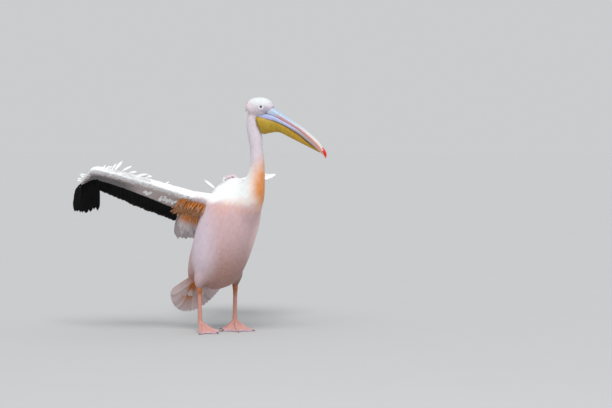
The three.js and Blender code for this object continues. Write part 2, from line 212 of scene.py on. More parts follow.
def heading(side, inward, fall):
    h, f = math.radians(inward), math.radians(fall)
    return np.array([-side * math.sin(h) * math.cos(f), math.cos(h) * math.cos(f), -math.sin(f)])


class Wing:
    """The wing's front edge, chord and covert edge, in the bird's frame."""

    def __init__(self, name):
        self.shape = WINGS[name]
        self.side = SIDES[name]
        sweep, lift = math.radians(self.shape["sweep"]), math.radians(self.shape["raise"])
        self.outward = np.array([
            self.side * math.cos(sweep) * math.cos(lift),
            math.sin(sweep) * math.cos(lift),
            math.sin(lift),
        ])
        shoulder = np.array(SHOULDER) * (self.side, 1, 1)
        wrist = shoulder + self.outward * ARM_SPAN
        fingertip = wrist + heading(self.side, *self.shape["hand"]) * HAND_LENGTH
        third = (wrist - shoulder) / 3
        middle = (wrist + fingertip) / 2 + (self.side * 8, 0, 6)
        near, far = shoulder + third + (0, 4, 2), shoulder + 2 * third + (0, 0, 4)
        self.edge = law([shoulder, near, far, wrist, middle, fingertip])

    def front(self, s):
        return self.edge(s * 0.6 if s <= 1 else 0.6 + (s - 1) * 0.4)

    def chord(self, s):
        inward = np.interp(s, STATIONS, self.shape["inward"])
        return heading(self.side, inward, np.interp(s, STATIONS, self.shape["fall"]))

    def coverts(self, s):
        return self.front(s) + self.chord(s) * np.interp(s, STATIONS, COVERT_LENGTH)

    def upward(self, s):
        up = unit(np.cross(self.outward, self.chord(s)))
        return up if up[2] > 0 else -up

    def tip(self, row, x):
        """Where the flight feather at x along a row ends."""
        shape, pose = FLIGHT[row], self.shape[row]
        s = shape["start"] + (shape["end"] - shape["start"]) * x
        way = heading(self.side, pose[0] + (pose[2] - pose[0]) * x, pose[1] + (pose[3] - pose[1]) * x)
        return self.front(s) + way * law(shape["reach"])(x), s


# ---- Settings ----------------------------------------------------------------------------------


def colour(name, description, value):
    return bpy.props.FloatVectorProperty(
        name=name, description=description, subtype="COLOR", size=3, min=0, max=1, default=value
    )


class PlumageSettings(bpy.types.PropertyGroup):
    white: colour("White", "Feathers of the crown, back and wing tops", (0.83, 0.855, 0.865))
    blush: colour("Blush", "Flush of the breast and belly", (0.645, 0.43, 0.445))
    lilac: colour("Lilac", "Cool tone of the neck", (0.615, 0.51, 0.605))
    ochre: colour("Ochre", "Patch at the base of the neck", (0.79, 0.27, 0.045))
    # Painted light: a lighter pink on the bird's left breast, standing in for light falling on that side.
    breast_side_light: colour("Breast side light", "Left side of the breast", (0.92, 0.64, 0.64))
    # Painted shade: this brown is the shade under the belly, painted into its colour rather than soil on the
    # feathers.
    belly_shade: colour("Belly shade", "Soiled underside of the belly", (0.37, 0.195, 0.155))
    # Painted light: a pale cool lilac on the right flank, standing in for skylight falling there.
    flank_skylight: colour("Flank skylight", "Right flank", (0.70, 0.59, 0.69))
    nape: colour("Nape", "Back of the head", (0.88, 0.73, 0.78))
    crown: colour("Crown", "Top of the head", (0.74, 0.79, 0.81))
    mantle: colour("Mantle", "Between the shoulders", (0.64, 0.45, 0.51))
    # Partly painted light: the wings and right shoulder are white, painted brighter than the body's white to
    # stand in for sunlight.
    sunlit_white: colour("Sunlit white", "Wings above", (0.95, 0.96, 0.97))
    # Painted shade of the wing's underside: the white lining darkened to grey-brown where it faces down, and
    # to near black towards the flight feathers.
    lining_shade: colour("Lining shade", "Coverts under the wing", (0.38, 0.27, 0.25))
    underwing_deep_shade: colour("Deep underwing shade", "Hindmost coverts under the wing", (0.03, 0.024, 0.024))
    rust: colour("Rust", "Stained feathers of the armpit and tail base", (0.58, 0.20, 0.045))
    cream: colour("Cream", "Tertials", (0.62, 0.56, 0.58))
    tan: colour("Tan", "Soft feathers of the armpit", (0.50, 0.27, 0.15))
    tan_streak: colour("Tan streak", "Streaks of the armpit's feathers", (0.60, 0.40, 0.30))
    tail: colour("Tail", "Tail feathers", (0.66, 0.55, 0.55))
    tail_streak: colour("Tail streak", "Streaks of the tail feathers", (0.72, 0.62, 0.62))
    black: colour("Black", "Flight feathers", (0.004, 0.004, 0.0045))
    fringe: colour("Fringe", "Pale edge of the flight feathers", (0.62, 0.55, 0.50))
    seed: bpy.props.IntProperty(name="Seed", description="Scatter of the feathers", default=11, min=0)


class BareSettings(bpy.types.PropertyGroup):
    face: colour("Face", "Bare skin round the eye", (0.50, 0.455, 0.57))
    iris: colour("Iris", "Iris of the eye", (0.045, 0.018, 0.010))
    pupil: colour("Pupil", "Pupil of the eye", (0.003, 0.003, 0.003))
    eye_rim: colour("Eye rim", "Rim of the eyeball", (0.20, 0.12, 0.11))
    horn: colour("Horn", "Top of the bill", (0.44, 0.575, 0.72))
    horn_shade: colour("Horn shade", "Grain of the bill", (0.34, 0.42, 0.58))
    horn_pale: colour("Pale horn", "Outer half of the bill", (0.74, 0.71, 0.67))
    horn_blot: colour("Horn blot", "Worn spots of the bill", (0.74, 0.70, 0.69))
    salmon: colour("Salmon", "Flush of the bill towards its tip", (0.72, 0.36, 0.27))
    edge_red: colour("Cutting edge", "Cutting edge of the upper bill", (0.70, 0.15, 0.10))
    slate: colour("Slate", "Sides of the lower bill", (0.46, 0.49, 0.78))
    plum: colour("Plum", "Middle of the lower bill", (0.36, 0.30, 0.33))
    nail_root: colour("Nail root", "Root of the hooked tip", (0.72, 0.08, 0.10))
    nail: colour("Nail", "Hooked tip of the bill", (0.72, 0.025, 0.010))
    nail_point: colour("Nail point", "Point of the hooked tip", (0.85, 0.20, 0.03))
    nail_grain: colour("Nail grain", "Grain of the hooked tip", (0.78, 0.14, 0.07))
    pouch: colour("Pouch", "Throat pouch", (0.41, 0.255, 0.020))
    pouch_fold: colour("Pouch fold", "Folds of the pouch", (0.54, 0.39, 0.05))
    pouch_vein: colour("Pouch vein", "Veins of the pouch", (0.50, 0.235, 0.03))
    pouch_end: colour("Pouch end", "Front end of the pouch", (0.56, 0.30, 0.03))
    leg: colour("Leg", "Scaled skin of the legs", (0.56, 0.265, 0.215))
    leg_blot: colour("Leg blot", "Pale spots of the legs", (0.74, 0.42, 0.34))
    leg_crack: colour("Leg crack", "Lines between the scales", (0.62, 0.24, 0.16))
    hock: colour("Hock", "Stained skin under the thigh", (0.40, 0.105, 0.012))
    toe: colour("Toe", "Tops of the toes", (0.60, 0.27, 0.17))
    web: colour("Web", "Webs between the toes", (0.56, 0.40, 0.49))
    claw: colour("Claw", "Claws", (0.22, 0.15, 0.12))


def spot(name, description, value):
    return bpy.props.FloatVectorProperty(
        name=name, description=description, subtype="TRANSLATION", unit="LENGTH", size=3, default=value
    )


def amount(name, description, value, **more):
    return bpy.props.FloatProperty(name=name, description=description, default=value, **more)


class StageSettings(bpy.types.PropertyGroup):
    eye_point: spot("Camera", "Camera in the bird's frame", (-5.9775, -5.9775, 0.8885))
    target: spot("Target", "Point that the camera looks at", (0.3042, -0.3042, 0.5976))
    lens: amount("Lens", "Focal length", 102.04, min=10, unit="CAMERA")
    floor: colour("Floor", "Studio floor", (0.5082, 0.5170, 0.5282))
    air: colour("Air", "Light from all round", (0.96, 0.98, 1.0))
    air_light: amount("Air light", "Strength of the light from all round", 0.62, min=0)
    overhead: colour("Overhead", "Light from above", (1.0, 0.985, 0.96))
    overhead_at: spot("Overhead from", "Where the light from above comes from", (-1.6, -1.4, 3.0))
    overhead_light: amount("Overhead light", "Strength of the light from above", 2.15, min=0)
    front_at: spot("Front lamp", "Where the front lamp stands", (-2.4, -3.4, 1.9))
    front_light: amount("Front light", "Power of the front lamp", 9, min=0)


class PelicanSettings(bpy.types.PropertyGroup):
    plumage: bpy.props.PointerProperty(type=PlumageSettings)
    bare: bpy.props.PointerProperty(type=BareSettings)
    stage: bpy.props.PointerProperty(type=StageSettings)


def settings():
    return bpy.context.scene.pelican


# ---- Node trees --------------------------------------------------------------------------------


def node(tree, kind, inputs=None, **options):
    """A node with its options set, and its inputs linked or given their values."""
    made = tree.nodes.new(kind)
    for key, value in options.items():
        setattr(made, key, value)
    for key, value in (inputs or {}).items():
        socket = made.inputs[key]
        if isinstance(value, bpy.types.NodeSocket):
            tree.links.new(value, socket)
        elif socket.type == "RGBA":
            socket.default_value = (*value[:3], 1)
        else:
            socket.default_value = value
    return made


def maths(tree, operation, *values):
    return node(tree, "ShaderNodeMath", dict(enumerate(values)), operation=operation).outputs[0]


def times(tree, first, second):
    return maths(tree, "MULTIPLY", first, second)


def vectors(tree, operation, *values):
    return node(tree, "ShaderNodeVectorMath", dict(enumerate(values)), operation=operation).outputs


def scaled(tree, vector, by):
    return node(tree, "ShaderNodeVectorMath", {0: vector, "Scale": by}, operation="SCALE").outputs[0]


def noise(tree, place, scale, detail, roughness=0.5):
    inputs = {"Vector": place, "Scale": scale, "Detail": detail, "Roughness": roughness}
    return node(tree, "ShaderNodeTexNoise", inputs).outputs[0]


def cells(tree, place, scale):
    """The distance to the edge of the nearest of many small cells."""
    inputs = {"Vector": place, "Scale": scale}
    return node(tree, "ShaderNodeTexVoronoi", inputs, feature="DISTANCE_TO_EDGE").outputs[0]


def axes(tree, vector):
    return node(tree, "ShaderNodeSeparateXYZ", {0: vector}).outputs


def map_axes(tree, name):
    """A UV map's two values, the third being nothing."""
    return axes(tree, node(tree, "ShaderNodeUVMap", uv_map=name).outputs[0])


def attribute(tree, name, output="Fac"):
    return node(tree, "ShaderNodeAttribute", attribute_name=name).outputs[output]


def blend(tree, share, first, second, kind="MIX"):
    inputs = {0: share, 6: first, 7: second}
    return node(tree, "ShaderNodeMix", inputs, data_type="RGBA", blend_type=kind).outputs[2]


def ramp(tree, value, start, end, low=0.0, high=1.0):
    """A soft step from low to high as value goes from start to end."""
    inputs = dict(enumerate((value, start, end, low, high)))
    return node(tree, "ShaderNodeMapRange", inputs, interpolation_type="SMOOTHSTEP").outputs[0]


def from_middle(tree, value, middle):
    return maths(tree, "ABSOLUTE", maths(tree, "SUBTRACT", value, middle))


def layered(tree, base, *layers):
    """The base colour with each layer, a share and a colour, laid over it in turn."""
    for share, over in layers:
        base = blend(tree, share, base, over)
    return base


def ball(tree, place, centre, radii, soft=0.6):
    """A soft mask that is 1 inside an ellipsoid in the bird's frame."""
    from_centre = vectors(tree, "SUBTRACT", place, to_row(centre))[0]
    share = vectors(tree, "DIVIDE", from_centre, [r * MM for r in radii])[0]
    return ramp(tree, vectors(tree, "LENGTH", share)["Value"], 1 + soft, max(1 - soft, 0))


def new_group(name, inputs, outputs):
    """A node group with named sockets, and its two end nodes."""
    tree = bpy.data.node_groups.new(name, "ShaderNodeTree")
    for label, kind, value in inputs:
        socket = tree.interface.new_socket(label, in_out="INPUT", socket_type=kind)
        if value is not None:
            socket.default_value = value
    for label, kind in outputs:
        tree.interface.new_socket(label, in_out="OUTPUT", socket_type=kind)
    return tree, tree.nodes.new("NodeGroupInput"), tree.nodes.new("NodeGroupOutput")


def shared(name, build):
    """A node group by name, built the first time."""
    return bpy.data.node_groups.get(name) or build(name)


# Soft spots of colour on the plumage, laid on in this order: centre and radii in the bird's frame, softness
# of the rim, strength, colour and, for a patchy one, the ramp that the clouds go through.
SPOTS = [
    ((-80, -207, 596), (120, 110, 34), 0.8, 0.3, "ochre", (0.35, 0.6)),
    # Painted light: the left breast made lighter, as if lit from that side.
    ((84, -205, 400), (54, 72, 230), 0.6, 0.9, "breast_side_light", None),
    ((22, -302, 690), (70, 62, 120), 0.55, 1.0, "ochre", (0.25, 0.6, 0.75, 1)),
    ((0, 150, 235), (80, 60, 70), 0.5, 0.55, "rust", None),
    # Painted shade: the underside of the belly darkened to brown, where the body shades it.
    ((-10, -60, 222), (200, 180, 165), 0.7, 0.95, "belly_shade", None),
    # Painted light: cool skylight painted onto the right flank.
    ((-140, 0, 430), (62, 100, 200), 0.6, 0.85, "flank_skylight", None),
    (HEAD_AT + turned((0, 52, -4)), (44, 34, 44), 0.5, 0.85, "nape", None),
    (HEAD_AT + turned((0, 6, 34)), (50, 60, 34), 0.4, 0.9, "crown", None),
    ((48, -70, 745), (84, 62, 44), 0.5, 0.75, "mantle", None),
    # Painted light: the right shoulder painted a brighter white, as if sunlit.
    ((-112, -84, 655), (66, 70, 44), 0.4, 1.0, "sunlit_white", None),
]
SHOULDER_SLOPE = 0.18
# The last pair: how far out from the middle, in millimetres, the wings take the brighter white of painted
# sunlight.
WHITE_BACK, LILAC_NECK, SUNLIT_WING = (612, 668), (745, 820), (145, 190)


def marking_group(name):
    """The plumage's colours by place on the bird, with painted light and shade, the same on skin and feathers.
    """
    c = settings().plumage
    tree, given, out = new_group(name, [("Place", "NodeSocketVector", None)], [("Colour", "NodeSocketColor")])
    place = given.outputs["Place"]
    across, along, height = axes(tree, place)
    cloud, fine = noise(tree, place, 14, 4, 0.6), noise(tree, place, 60, 3, 0.7)
    level = maths(tree, "ADD", height, times(tree, maths(tree, "SUBTRACT", cloud, 0.5), 0.10))

    def lay(tint, mask, amount, over):
        return blend(tree, times(tree, mask, amount), tint, over)

    def above(value, heights):
        return ramp(tree, value, *(to_row((0, 0, height))[2] for height in heights))

    behind = maths(tree, "SUBTRACT", along, float(ORIGIN[1]))
    sloped = maths(tree, "SUBTRACT", level, times(tree, behind, SHOULDER_SLOPE))
    tint = blend(tree, above(sloped, WHITE_BACK), c.blush, c.white)
    tint = lay(tint, above(level, LILAC_NECK), 0.75, c.lilac)
    for centre, radii, soft, strength, over, patchy in SPOTS:
        mask = ball(tree, place, centre, radii, soft)
        if patchy:
            mask = times(tree, mask, ramp(tree, cloud, *patchy))
        tint = lay(tint, mask, strength, getattr(c, over))
    # Painted light: the wings painted a brighter white than the body, as if sunlit.
    off = from_middle(tree, across, float(ORIGIN[0]))
    tint = lay(tint, ramp(tree, off, *(reach * MM for reach in SUNLIT_WING)), 1.0, c.sunlit_white)
    # Painted shade under the wing: the lining is darkened to grey-brown where it faces down, then to near
    # black towards the black flight feathers.
    under = attribute(tree, "under")
    tint = lay(tint, ramp(tree, under, 0, 0.7), 0.85, c.lining_shade)
    tint = lay(tint, ramp(tree, under, 0.7, 1.0), 0.92, c.underwing_deep_shade)
    tint = lay(tint, ramp(tree, fine, 0.35, 0.7), 0.08, c.white)
    tree.links.new(tint, out.inputs[0])
    return tree


def barb_group(name):
    """The fine combing of a vane, from its own map: across is 0 to 1 over the shaft, along 0 to 1."""
    inputs = [("Map", "NodeSocketVector", None), ("Barbs", "NodeSocketFloat", 60.0)]
    tree, given, out = new_group(name, inputs, [("Height", "NodeSocketFloat"), ("Shaft", "NodeSocketFloat")])
    across, along, _ = axes(tree, given.outputs["Map"])
    off = from_middle(tree, across, 0.5)
    slant = maths(tree, "SUBTRACT", along, times(tree, off, 0.9))
    wave = maths(tree, "SINE", times(tree, times(tree, slant, given.outputs["Barbs"]), math.tau))
    height = times(tree, maths(tree, "ADD", wave, 1), noise(tree, given.outputs["Map"], 25, 2))
    tree.links.new(height, out.inputs[0])
    tree.links.new(ramp(tree, off, 0.05, 0.015), out.inputs[1])
    return tree


def new_material(name, roughness, **fixed):
    """A material and its tree, with the sockets that don't vary set on the shader itself."""
    material = bpy.data.materials.new(name)
    material.use_nodes = True
    tree = material.node_tree
    shader = tree.nodes["Principled BSDF"]
    shader.inputs["Roughness"].default_value = roughness
    for key, value in fixed.items():
        shader.inputs[key.replace("_", " ")].default_value = value
    return material, tree, shader


def own_place(tree):
    return node(tree, "ShaderNodeTexCoord").outputs["Object"]


def paint(tree, shader, tint, roughness=None):
    tree.links.new(tint, shader.inputs["Base Color"])
    if roughness is not None:
        tree.links.new(roughness, shader.inputs["Roughness"])


def put_bump(tree, shader, height, strength, distance, facing=None):
    bump = node(tree, "ShaderNodeBump", {"Height": height, "Strength": strength, "Distance": distance})
    if facing is not None:
        tree.links.new(facing, bump.inputs["Normal"])
    tree.links.new(bump.outputs[0], shader.inputs["Normal"])


def soft_facing(tree, share):
    """The way a small feather faces, drawn towards that of the body under its root, as down does."""
    own = node(tree, "ShaderNodeNewGeometry").outputs["Normal"]
    under = attribute(tree, "facing", "Vector")
    same = vectors(tree, "DOT_PRODUCT", own, under)["Value"]
    sign = maths(tree, "SUBTRACT", times(tree, maths(tree, "GREATER_THAN", same, -0.5), 2), 1)
    pulled = scaled(tree, under, times(tree, sign, share))
    both = vectors(tree, "ADD", pulled, scaled(tree, own, 1 - share))[0]
    return vectors(tree, "NORMALIZE", both)[0]


def marking(tree):
    group = node(tree, "ShaderNodeGroup", node_tree=shared("Plumage markings", marking_group))
    tree.links.new(own_place(tree), group.inputs["Place"])
    return group.outputs["Colour"]


def barbs(tree, count):
    group = node(tree, "ShaderNodeGroup", node_tree=shared("Vane barbs", barb_group))
    tree.links.new(node(tree, "ShaderNodeUVMap", uv_map="Vane").outputs[0], group.inputs["Map"])
    group.inputs["Barbs"].default_value = count
    return group.outputs["Height"], group.outputs["Shaft"]


def shade(tree, base, low, high):
    """The colour, darker or lighter by each feather's own tone."""
    value = ramp(tree, attribute(tree, "tone"), 0, 1, low, high)
    grey = node(tree, "ShaderNodeCombineColor", {0: value, 1: value, 2: value}).outputs[0]
    return blend(tree, 1.0, base, grey, "MULTIPLY")


def plumage_material(name):
    """Small feathers: the bird's markings, with a little of each feather's own shade."""
    material, tree, shader = new_material(name, 0.9, Sheen_Weight=0.2, Sheen_Roughness=0.5)
    height, _ = barbs(tree, 14)
    paint(tree, shader, shade(tree, marking(tree), 0.955, 1.02))
    put_bump(tree, shader, height, 0.2, 0.0003, soft_facing(tree, 0.7))
    return material


def flight_material(name, dark, pale, fringe, barb_count=90, stain=None):
    """Long feathers: combed vanes with a pale edge at the tip and a paler shaft."""
    material, tree, shader = new_material(name, 0.85, Specular_IOR_Level=0.06)
    across, along, _ = map_axes(tree, "Vane")
    height, _ = barbs(tree, barb_count)
    streak = noise(tree, own_place(tree), 45, 4, 0.65)
    base = blend(tree, ramp(tree, streak, 0.4, 0.75, 0, 0.25), dark, pale)
    if stain is not None:
        stained = times(tree, ramp(tree, along, 0.95, 0.25), ramp(tree, streak, 0.2, 0.6, 0.4, 1))
        base = blend(tree, times(tree, stained, attribute(tree, "stain")), base, stain)
    off = from_middle(tree, across, 0.5)
    side_rim = times(tree, ramp(tree, off, 0.42, 0.5), ramp(tree, along, 0.9, 1))
    rim = maths(tree, "MAXIMUM", ramp(tree, along, 0.972, 0.99), side_rim)
    base = blend(tree, times(tree, rim, fringe), base, settings().plumage.fringe)
    shaft = times(tree, attribute(tree, "shaft"), 0.6)
    paint(tree, shader, blend(tree, shaft, shade(tree, base, 0.8, 1.08), pale))
    put_bump(tree, shader, height, 0.3, 0.0004)
    return material


# ---- Mesh helpers ------------------------------------------------------------------------------


def new_object(name, data):
    made = bpy.data.objects.new(name, data)
    bpy.context.scene.collection.objects.link(made)
    return made


def add_piece(name, mesh, material, slot, replaces=()):
    """A finished piece at the origin, riding on the bird."""
    mesh.name = name
    mesh.materials.clear()
    mesh.materials.append(material)
    made = new_object(name, mesh)
    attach(made, "root")
    if replaces:
        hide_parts(*replaces)
    return made


def mesh_from(bm, name):
    mesh = bpy.data.meshes.new(name)
    bm.to_mesh(mesh)
    bm.free()
    mesh.shade_smooth()
    return mesh


def patch(bm, columns, rows, place):
    """A sheet: place(across, along) is a point, both 0 to 1."""
    made = bmesh.ops.create_grid(bm, x_segments=columns, y_segments=rows, size=0.5, calc_uvs=True)["verts"]
    for v in made:
        v.co = place(v.co.x + 0.5, v.co.y + 0.5)
    return made


def rolled(bm, sides, rings, place):
    """A sheet rolled into a tube. Where place gives one point for a whole ring, the tube closes."""
    made = patch(bm, sides, rings, lambda across, along: place(across % 1.0, along))
    faces = {face for v in made for face in v.link_faces}
    bmesh.ops.remove_doubles(bm, verts=made, dist=1e-6)
    bmesh.ops.recalc_face_normals(bm, faces=[face for face in faces if face.is_valid])


def swept(bm, rows, sides, rings, section):
    """A body along rows of [x, y, z, half width, half depth] in the head's frame. section(turn, along) gives
    the share of the half width and depth."""
    line = law(rows)

    def place(turn, along):
        t = ring_share(along, rings)
        row = line(t)
        up = np.cross(ahead_on(lambda x: line(x)[:3], t, 0.01), (1, 0, 0))
        wide, deep = (0, 0) if along in (0.0, 1.0) else section(turn, t)
        return on_head(row[:3] + np.array([row[3] * wide, 0, 0]) + up * row[4] * deep)

    rolled(bm, sides, rings + 2, place)


def new_sheets(map_name):
    """An empty mesh to build in, with a UV map of that name."""
    bm = bmesh.new()
    bm.loops.layers.uv.new(map_name)
    return bm


def baked(obj):
    """The object's mesh with its modifiers applied. The object goes."""
    graph = bpy.context.evaluated_depsgraph_get()
    finished = obj.evaluated_get(graph)
    mesh = bpy.data.meshes.new_from_object(finished, preserve_all_data_layers=True, depsgraph=graph)
    bpy.data.objects.remove(obj)
    return mesh


def merged_copies(names, swell):
    """Copies of CAD nodes in one mesh, each a closed body grown a little so that they meet."""
    whole = bmesh.new()
    for name in names:
        part = bmesh.new()
        part.from_mesh(NODES[name].data)
        bmesh.ops.remove_doubles(part, verts=part.verts, dist=1e-5)
        part.normal_update()
        for v in part.verts:
            v.co += v.normal * swell
        mesh = mesh_from(part, name)
        whole.from_mesh(mesh)
        bpy.data.meshes.remove(mesh)
    return mesh_from(whole, "copies")


def remeshed(mesh, voxel):
    obj = new_object("scratch", mesh)
    remesh = obj.modifiers.new("Remesh", "REMESH")
    remesh.mode = "VOXEL"
    remesh.voxel_size = voxel
    return baked(obj)


def read(collection, key, width, kind=np.float32):
    values = np.empty(len(collection) * width, kind)
    collection.foreach_get(key, values)
    return values.reshape(-1, width) if width > 1 else values


def points_of(mesh):
    return read(mesh.vertices, "co", 3).astype(float)


def move_to(mesh, points):
    mesh.vertices.foreach_set("co", points.astype(np.float32).ravel())
    mesh.update()


def store(mesh, name, values):
    """A value or vector for each point of the mesh."""
    values = np.asarray(values, np.float32)
    kind = "FLOAT_VECTOR" if values.ndim == 2 else "FLOAT"
    made = mesh.attributes.new(name, kind, "POINT")
    made.data.foreach_set("vector" if values.ndim == 2 else "value", values.ravel())


def relaxed(values, edges, weight, rounds):
    """Values eased towards their neighbours' mean, by weight, in so many rounds."""
    values = np.array(values, float)
    flat = values.reshape(len(values), -1)
    a, b = edges[:, 0], edges[:, 1]
    count = np.bincount(edges.ravel(), minlength=len(values)).clip(1)
    for _ in range(rounds):
        for k in range(flat.shape[1]):
            near = np.bincount(a, flat[b, k], len(flat)) + np.bincount(b, flat[a, k], len(flat))
            flat[:, k] += weight * (near / count - flat[:, k])
    return flat.reshape(values.shape)


def smoothstep(value, start, end):
    t = np.clip((value - start) / (end - start), 0, 1)
    return t * t * (3 - 2 * t)


# ---- Skin --------------------------------------------------------------------------------------

FLESH = ["trunk", "neck_lower", "neck_upper", "head"]
FLESH += [f"{part}_{side}" for part in ("thigh", "upper_arm", "forearm", "hand") for side in SIDES]
SKIN_VOXEL = 5.3 * MM
HEAD_REACH, EYE_REACH = 84 * MM, 17 * MM
# The eyelid's rows: distance from the middle of the eye, and how far out the skin stands there.
LID_RINGS, LID_OUT = [0, 5.4, 6.1, 7.2, 8.4, 9.8, 11.5], [29, 31, 36.0, 36.8, 36.8, 36.2, 36.6]
# How strongly each node's facets are eased, and how many times each field is.
EASE, LIMB_EASE = {"trunk": 0.5, "neck_lower": 0.4, "neck_upper": 0.4, "head": 0.35}, 0.22
FIELD_EASE = {"lie": 30, "coat": 14, "cling": 6, "under": 3, "back": 3, "reach": 3}


def nearest_node(points):
    """For each point, which flesh node it lies nearest to."""
    corners, faces, owner = [], [], []
    for i, name in enumerate(FLESH):
        mesh = NODES[name].data
        start = len(corners)
        corners += [v.co.copy() for v in mesh.vertices]
        faces += [[start + k for k in polygon.vertices] for polygon in mesh.polygons]
        owner += [i] * len(mesh.polygons)
    tree = BVHTree.FromPolygons(corners, faces)
    return np.array([owner[tree.find_nearest(Vector(p))[2]] for p in points])


def refine_head(mesh):
    """Divides the faces of the head twice, and those round the eyes once more."""
    bm = bmesh.new()
    bm.from_mesh(mesh)
    centre = on_head((0, 0, 0))
    eyes = [on_head((side * EYE_OUT, -EYE_FRONT, EYE_UP)) for side in (-1, 1)]
    passes = [([centre], HEAD_REACH), ([centre], HEAD_REACH * 0.94), (eyes, EYE_REACH)]
    for centres, reach in passes:
        near = [e for e in bm.edges if any((v.co - c).length < reach for v in e.verts for c in centres)]
        bmesh.ops.subdivide_edges(bm, edges=near, cuts=1, use_grid_fill=True)
    bmesh.ops.triangulate(bm, faces=[f for f in bm.faces if len(f.verts) > 4])
    return mesh_from(bm, "skin")


def in_head(points):
    """Points of the row frame in the head's own frame, in millimetres."""
    x, y, z = ((points - ORIGIN) / MM - HEAD_AT).T
    return np.column_stack([HEAD_COS * x + HEAD_SIN * y, HEAD_COS * y - HEAD_SIN * x, z])


def bareness(points):
    """1 on the bare skin from behind the eye to the bill, 0 on the feathers."""
    p = in_head(points)
    eye, base = np.array([-3.0, 2.0]), np.array([-58.0, -24.0])
    side_view = p[:, 1:]
    t = np.clip(((side_view - eye) @ (base - eye)) / ((base - eye) @ (base - eye)), 0, 1)
    off = np.linalg.norm(side_view - (eye + t[:, None] * (base - eye)), axis=1)
    reach = 13.5 + 10 * t
    bare = 1 - smoothstep(off, reach - 1.5, reach + 1.5)
    return bare * smoothstep(np.abs(p[:, 0]), 8, 13) * (p[:, 2] > -60)


def set_eyelids(points):
    """Opens the skin over each eyeball and folds a lid round it."""
    p = in_head(points)
    for side in (-1, 1):
        out = side * p[:, 0]
        ring = np.hypot(p[:, 1] + EYE_FRONT, p[:, 2] - EYE_UP)
        lid = np.interp(ring, LID_RINGS, LID_OUT)
        share = (1 - smoothstep(ring, 10.5, 15)) * (out > 15)
        p[:, 0] += side * share * (lid - out)
    turned_back = np.array([turned(row) for row in p])
    return ORIGIN + (HEAD_AT + turned_back) * MM


def wing_stations(points, wing):
    """How far out along the wing each point is, and how far back along the chord."""
    samples = [(s, b) for s in np.arange(0, 2.01, 0.05) for b in np.arange(0, 1.01, 0.1)]
    tree = KDTree(len(samples))
    for i, (s, b) in enumerate(samples):
        tree.insert(to_row(wing.front(s) + wing.chord(s) * b * np.interp(s, STATIONS, COVERT_LENGTH)), i)
    tree.balance()
    return np.array([samples[tree.find(Vector(p))[1]] for p in points])


def line_direction(points, line):
    """Which way the nearest stretch of a middle line runs, for each point."""
    stops = ORIGIN + np.array(line, float) * MM
    middle = (stops[1:] + stops[:-1]) / 2
    ahead = stops[1:] - stops[:-1]
    ahead /= np.linalg.norm(ahead, axis=1)[:, None]
    weight = 1 / (np.linalg.norm(points[:, None] - middle[None], axis=2) ** 4 + 1e-9)
    return np.einsum("ij,jk->ik", weight / weight.sum(1)[:, None], ahead)


def coat_fields(points, normals, owner):
    """What grows at each point of the skin. lie: the way that feathers point. coat: their length, spacing
    and depth. cling: how closely they follow the skin. under: painted shade on the wing's lining where it
    faces down, to 0.7 for grey-brown and on to 1 where it deepens to near black towards the flight feathers.
    back: how far along the wing's chord. reach: what is left of the chord behind, in millimetres. draw: how
    far the leading edge is drawn back to a full round front."""
    count = len(points)
    lie, coat, draw = (np.zeros((count, 3)) for _ in range(3))
    cling, under, back, reach = np.ones(count), np.zeros(count), np.zeros(count), np.full(count, 999.0)
    level = (points[:, 2] - ORIGIN[2]) / MM
    for i, name in enumerate(FLESH):
        mine = owner == i
        if not mine.any():
            continue
        here = points[mine]
        part, _, side = name.rpartition("_")
        if name == "trunk":
            lie[mine], coat[mine] = line_direction(here, TRUNK_LINE), COAT["trunk"]
            coat[mine] *= np.interp(level[mine], [640, 740], [1, 0.75])[:, None]
        elif name.startswith("neck"):
            lie[mine], coat[mine] = line_direction(here, NECK_LINE), COAT[name]
        elif name == "head":
            p = in_head(here)
            down = smoothstep(-p[:, 2] + p[:, 1] * 0.6, -20, 50)
            way = np.column_stack([np.zeros(len(p)), 1 - 0.55 * down, -0.15 - 0.85 * down])
            lie[mine], coat[mine] = np.array([turned(row) for row in way]), COAT["head"]
            nape = smoothstep(p[:, 1] - 0.35 * p[:, 2], 20, 52)
            coat[mine] *= np.column_stack([1 + 1.5 * nape, 1 + 0.3 * nape, 1 + 1.2 * nape])
            face = smoothstep(-p[:, 1], -10, 45)
            coat[mine] *= (1 - 0.3 * face)[:, None]
            cling[mine] = 1 - 0.6 * nape
        elif part == "thigh":
            lie[mine], coat[mine] = (0, 0.1, -1), COAT["thigh"]
            cling[mine] = np.interp(level[mine], [200, 250], [0.15, 1])
        else:
            wing = Wing(side)
            station = wing_stations(here, wing)
            s, b = station.T
            lie[mine] = [wing.chord(x) + wing.outward * 0.4 * (1 - y) for x, y in station]
            size = np.interp(b, [0, 0.15, 0.5, 1], [0.5, 0.62, 1.0, 1.5])
            size *= np.interp(s, [0, 1, 2], [1.05, 0.95, 0.62])
            coat[mine] = np.array(COAT["wing"]) * size[:, None]
            cling[mine] = 1 - smoothstep(b, 0.7, 0.95)
            up = np.array([wing.upward(x) for x in s])
            # Painted shade of the lining: strongest where the wing faces down, grey-brown from a little behind
            # the front edge, near black on the outer wing and towards the flight feathers.
            facing = smoothstep(-np.sum(normals[mine] * up, axis=1), 0.25, 0.7)
            far = 0.9 * smoothstep(s, 0.5, 0.8) * smoothstep(b, 0.18, 0.38)
            dark = np.maximum(far, smoothstep(b, 0.62, 0.92))
            under[mine] = facing * (0.68 * smoothstep(b, 0.13, 0.27) + 0.32 * dark)
            back[mine] = b
            reach[mine] = (1 - b) * np.interp(s, STATIONS, COVERT_LENGTH)
            full = np.interp(s, [0.02, 0.2, 0.85, 1.05, 2], [0, 36, 34, 22, 6])
            chord = [wing.chord(x) for x in s]
            behind = [(p - ORIGIN) / MM @ way - wing.front(x) @ way for p, x, way in zip(here, s, chord)]
            back_by = 0.8 * np.maximum(full - np.maximum(behind, 0), 0) * MM
            draw[mine] = back_by[:, None] * np.array(chord)
    return dict(lie=lie, coat=coat, cling=cling, under=under, back=back, reach=reach, draw=draw)


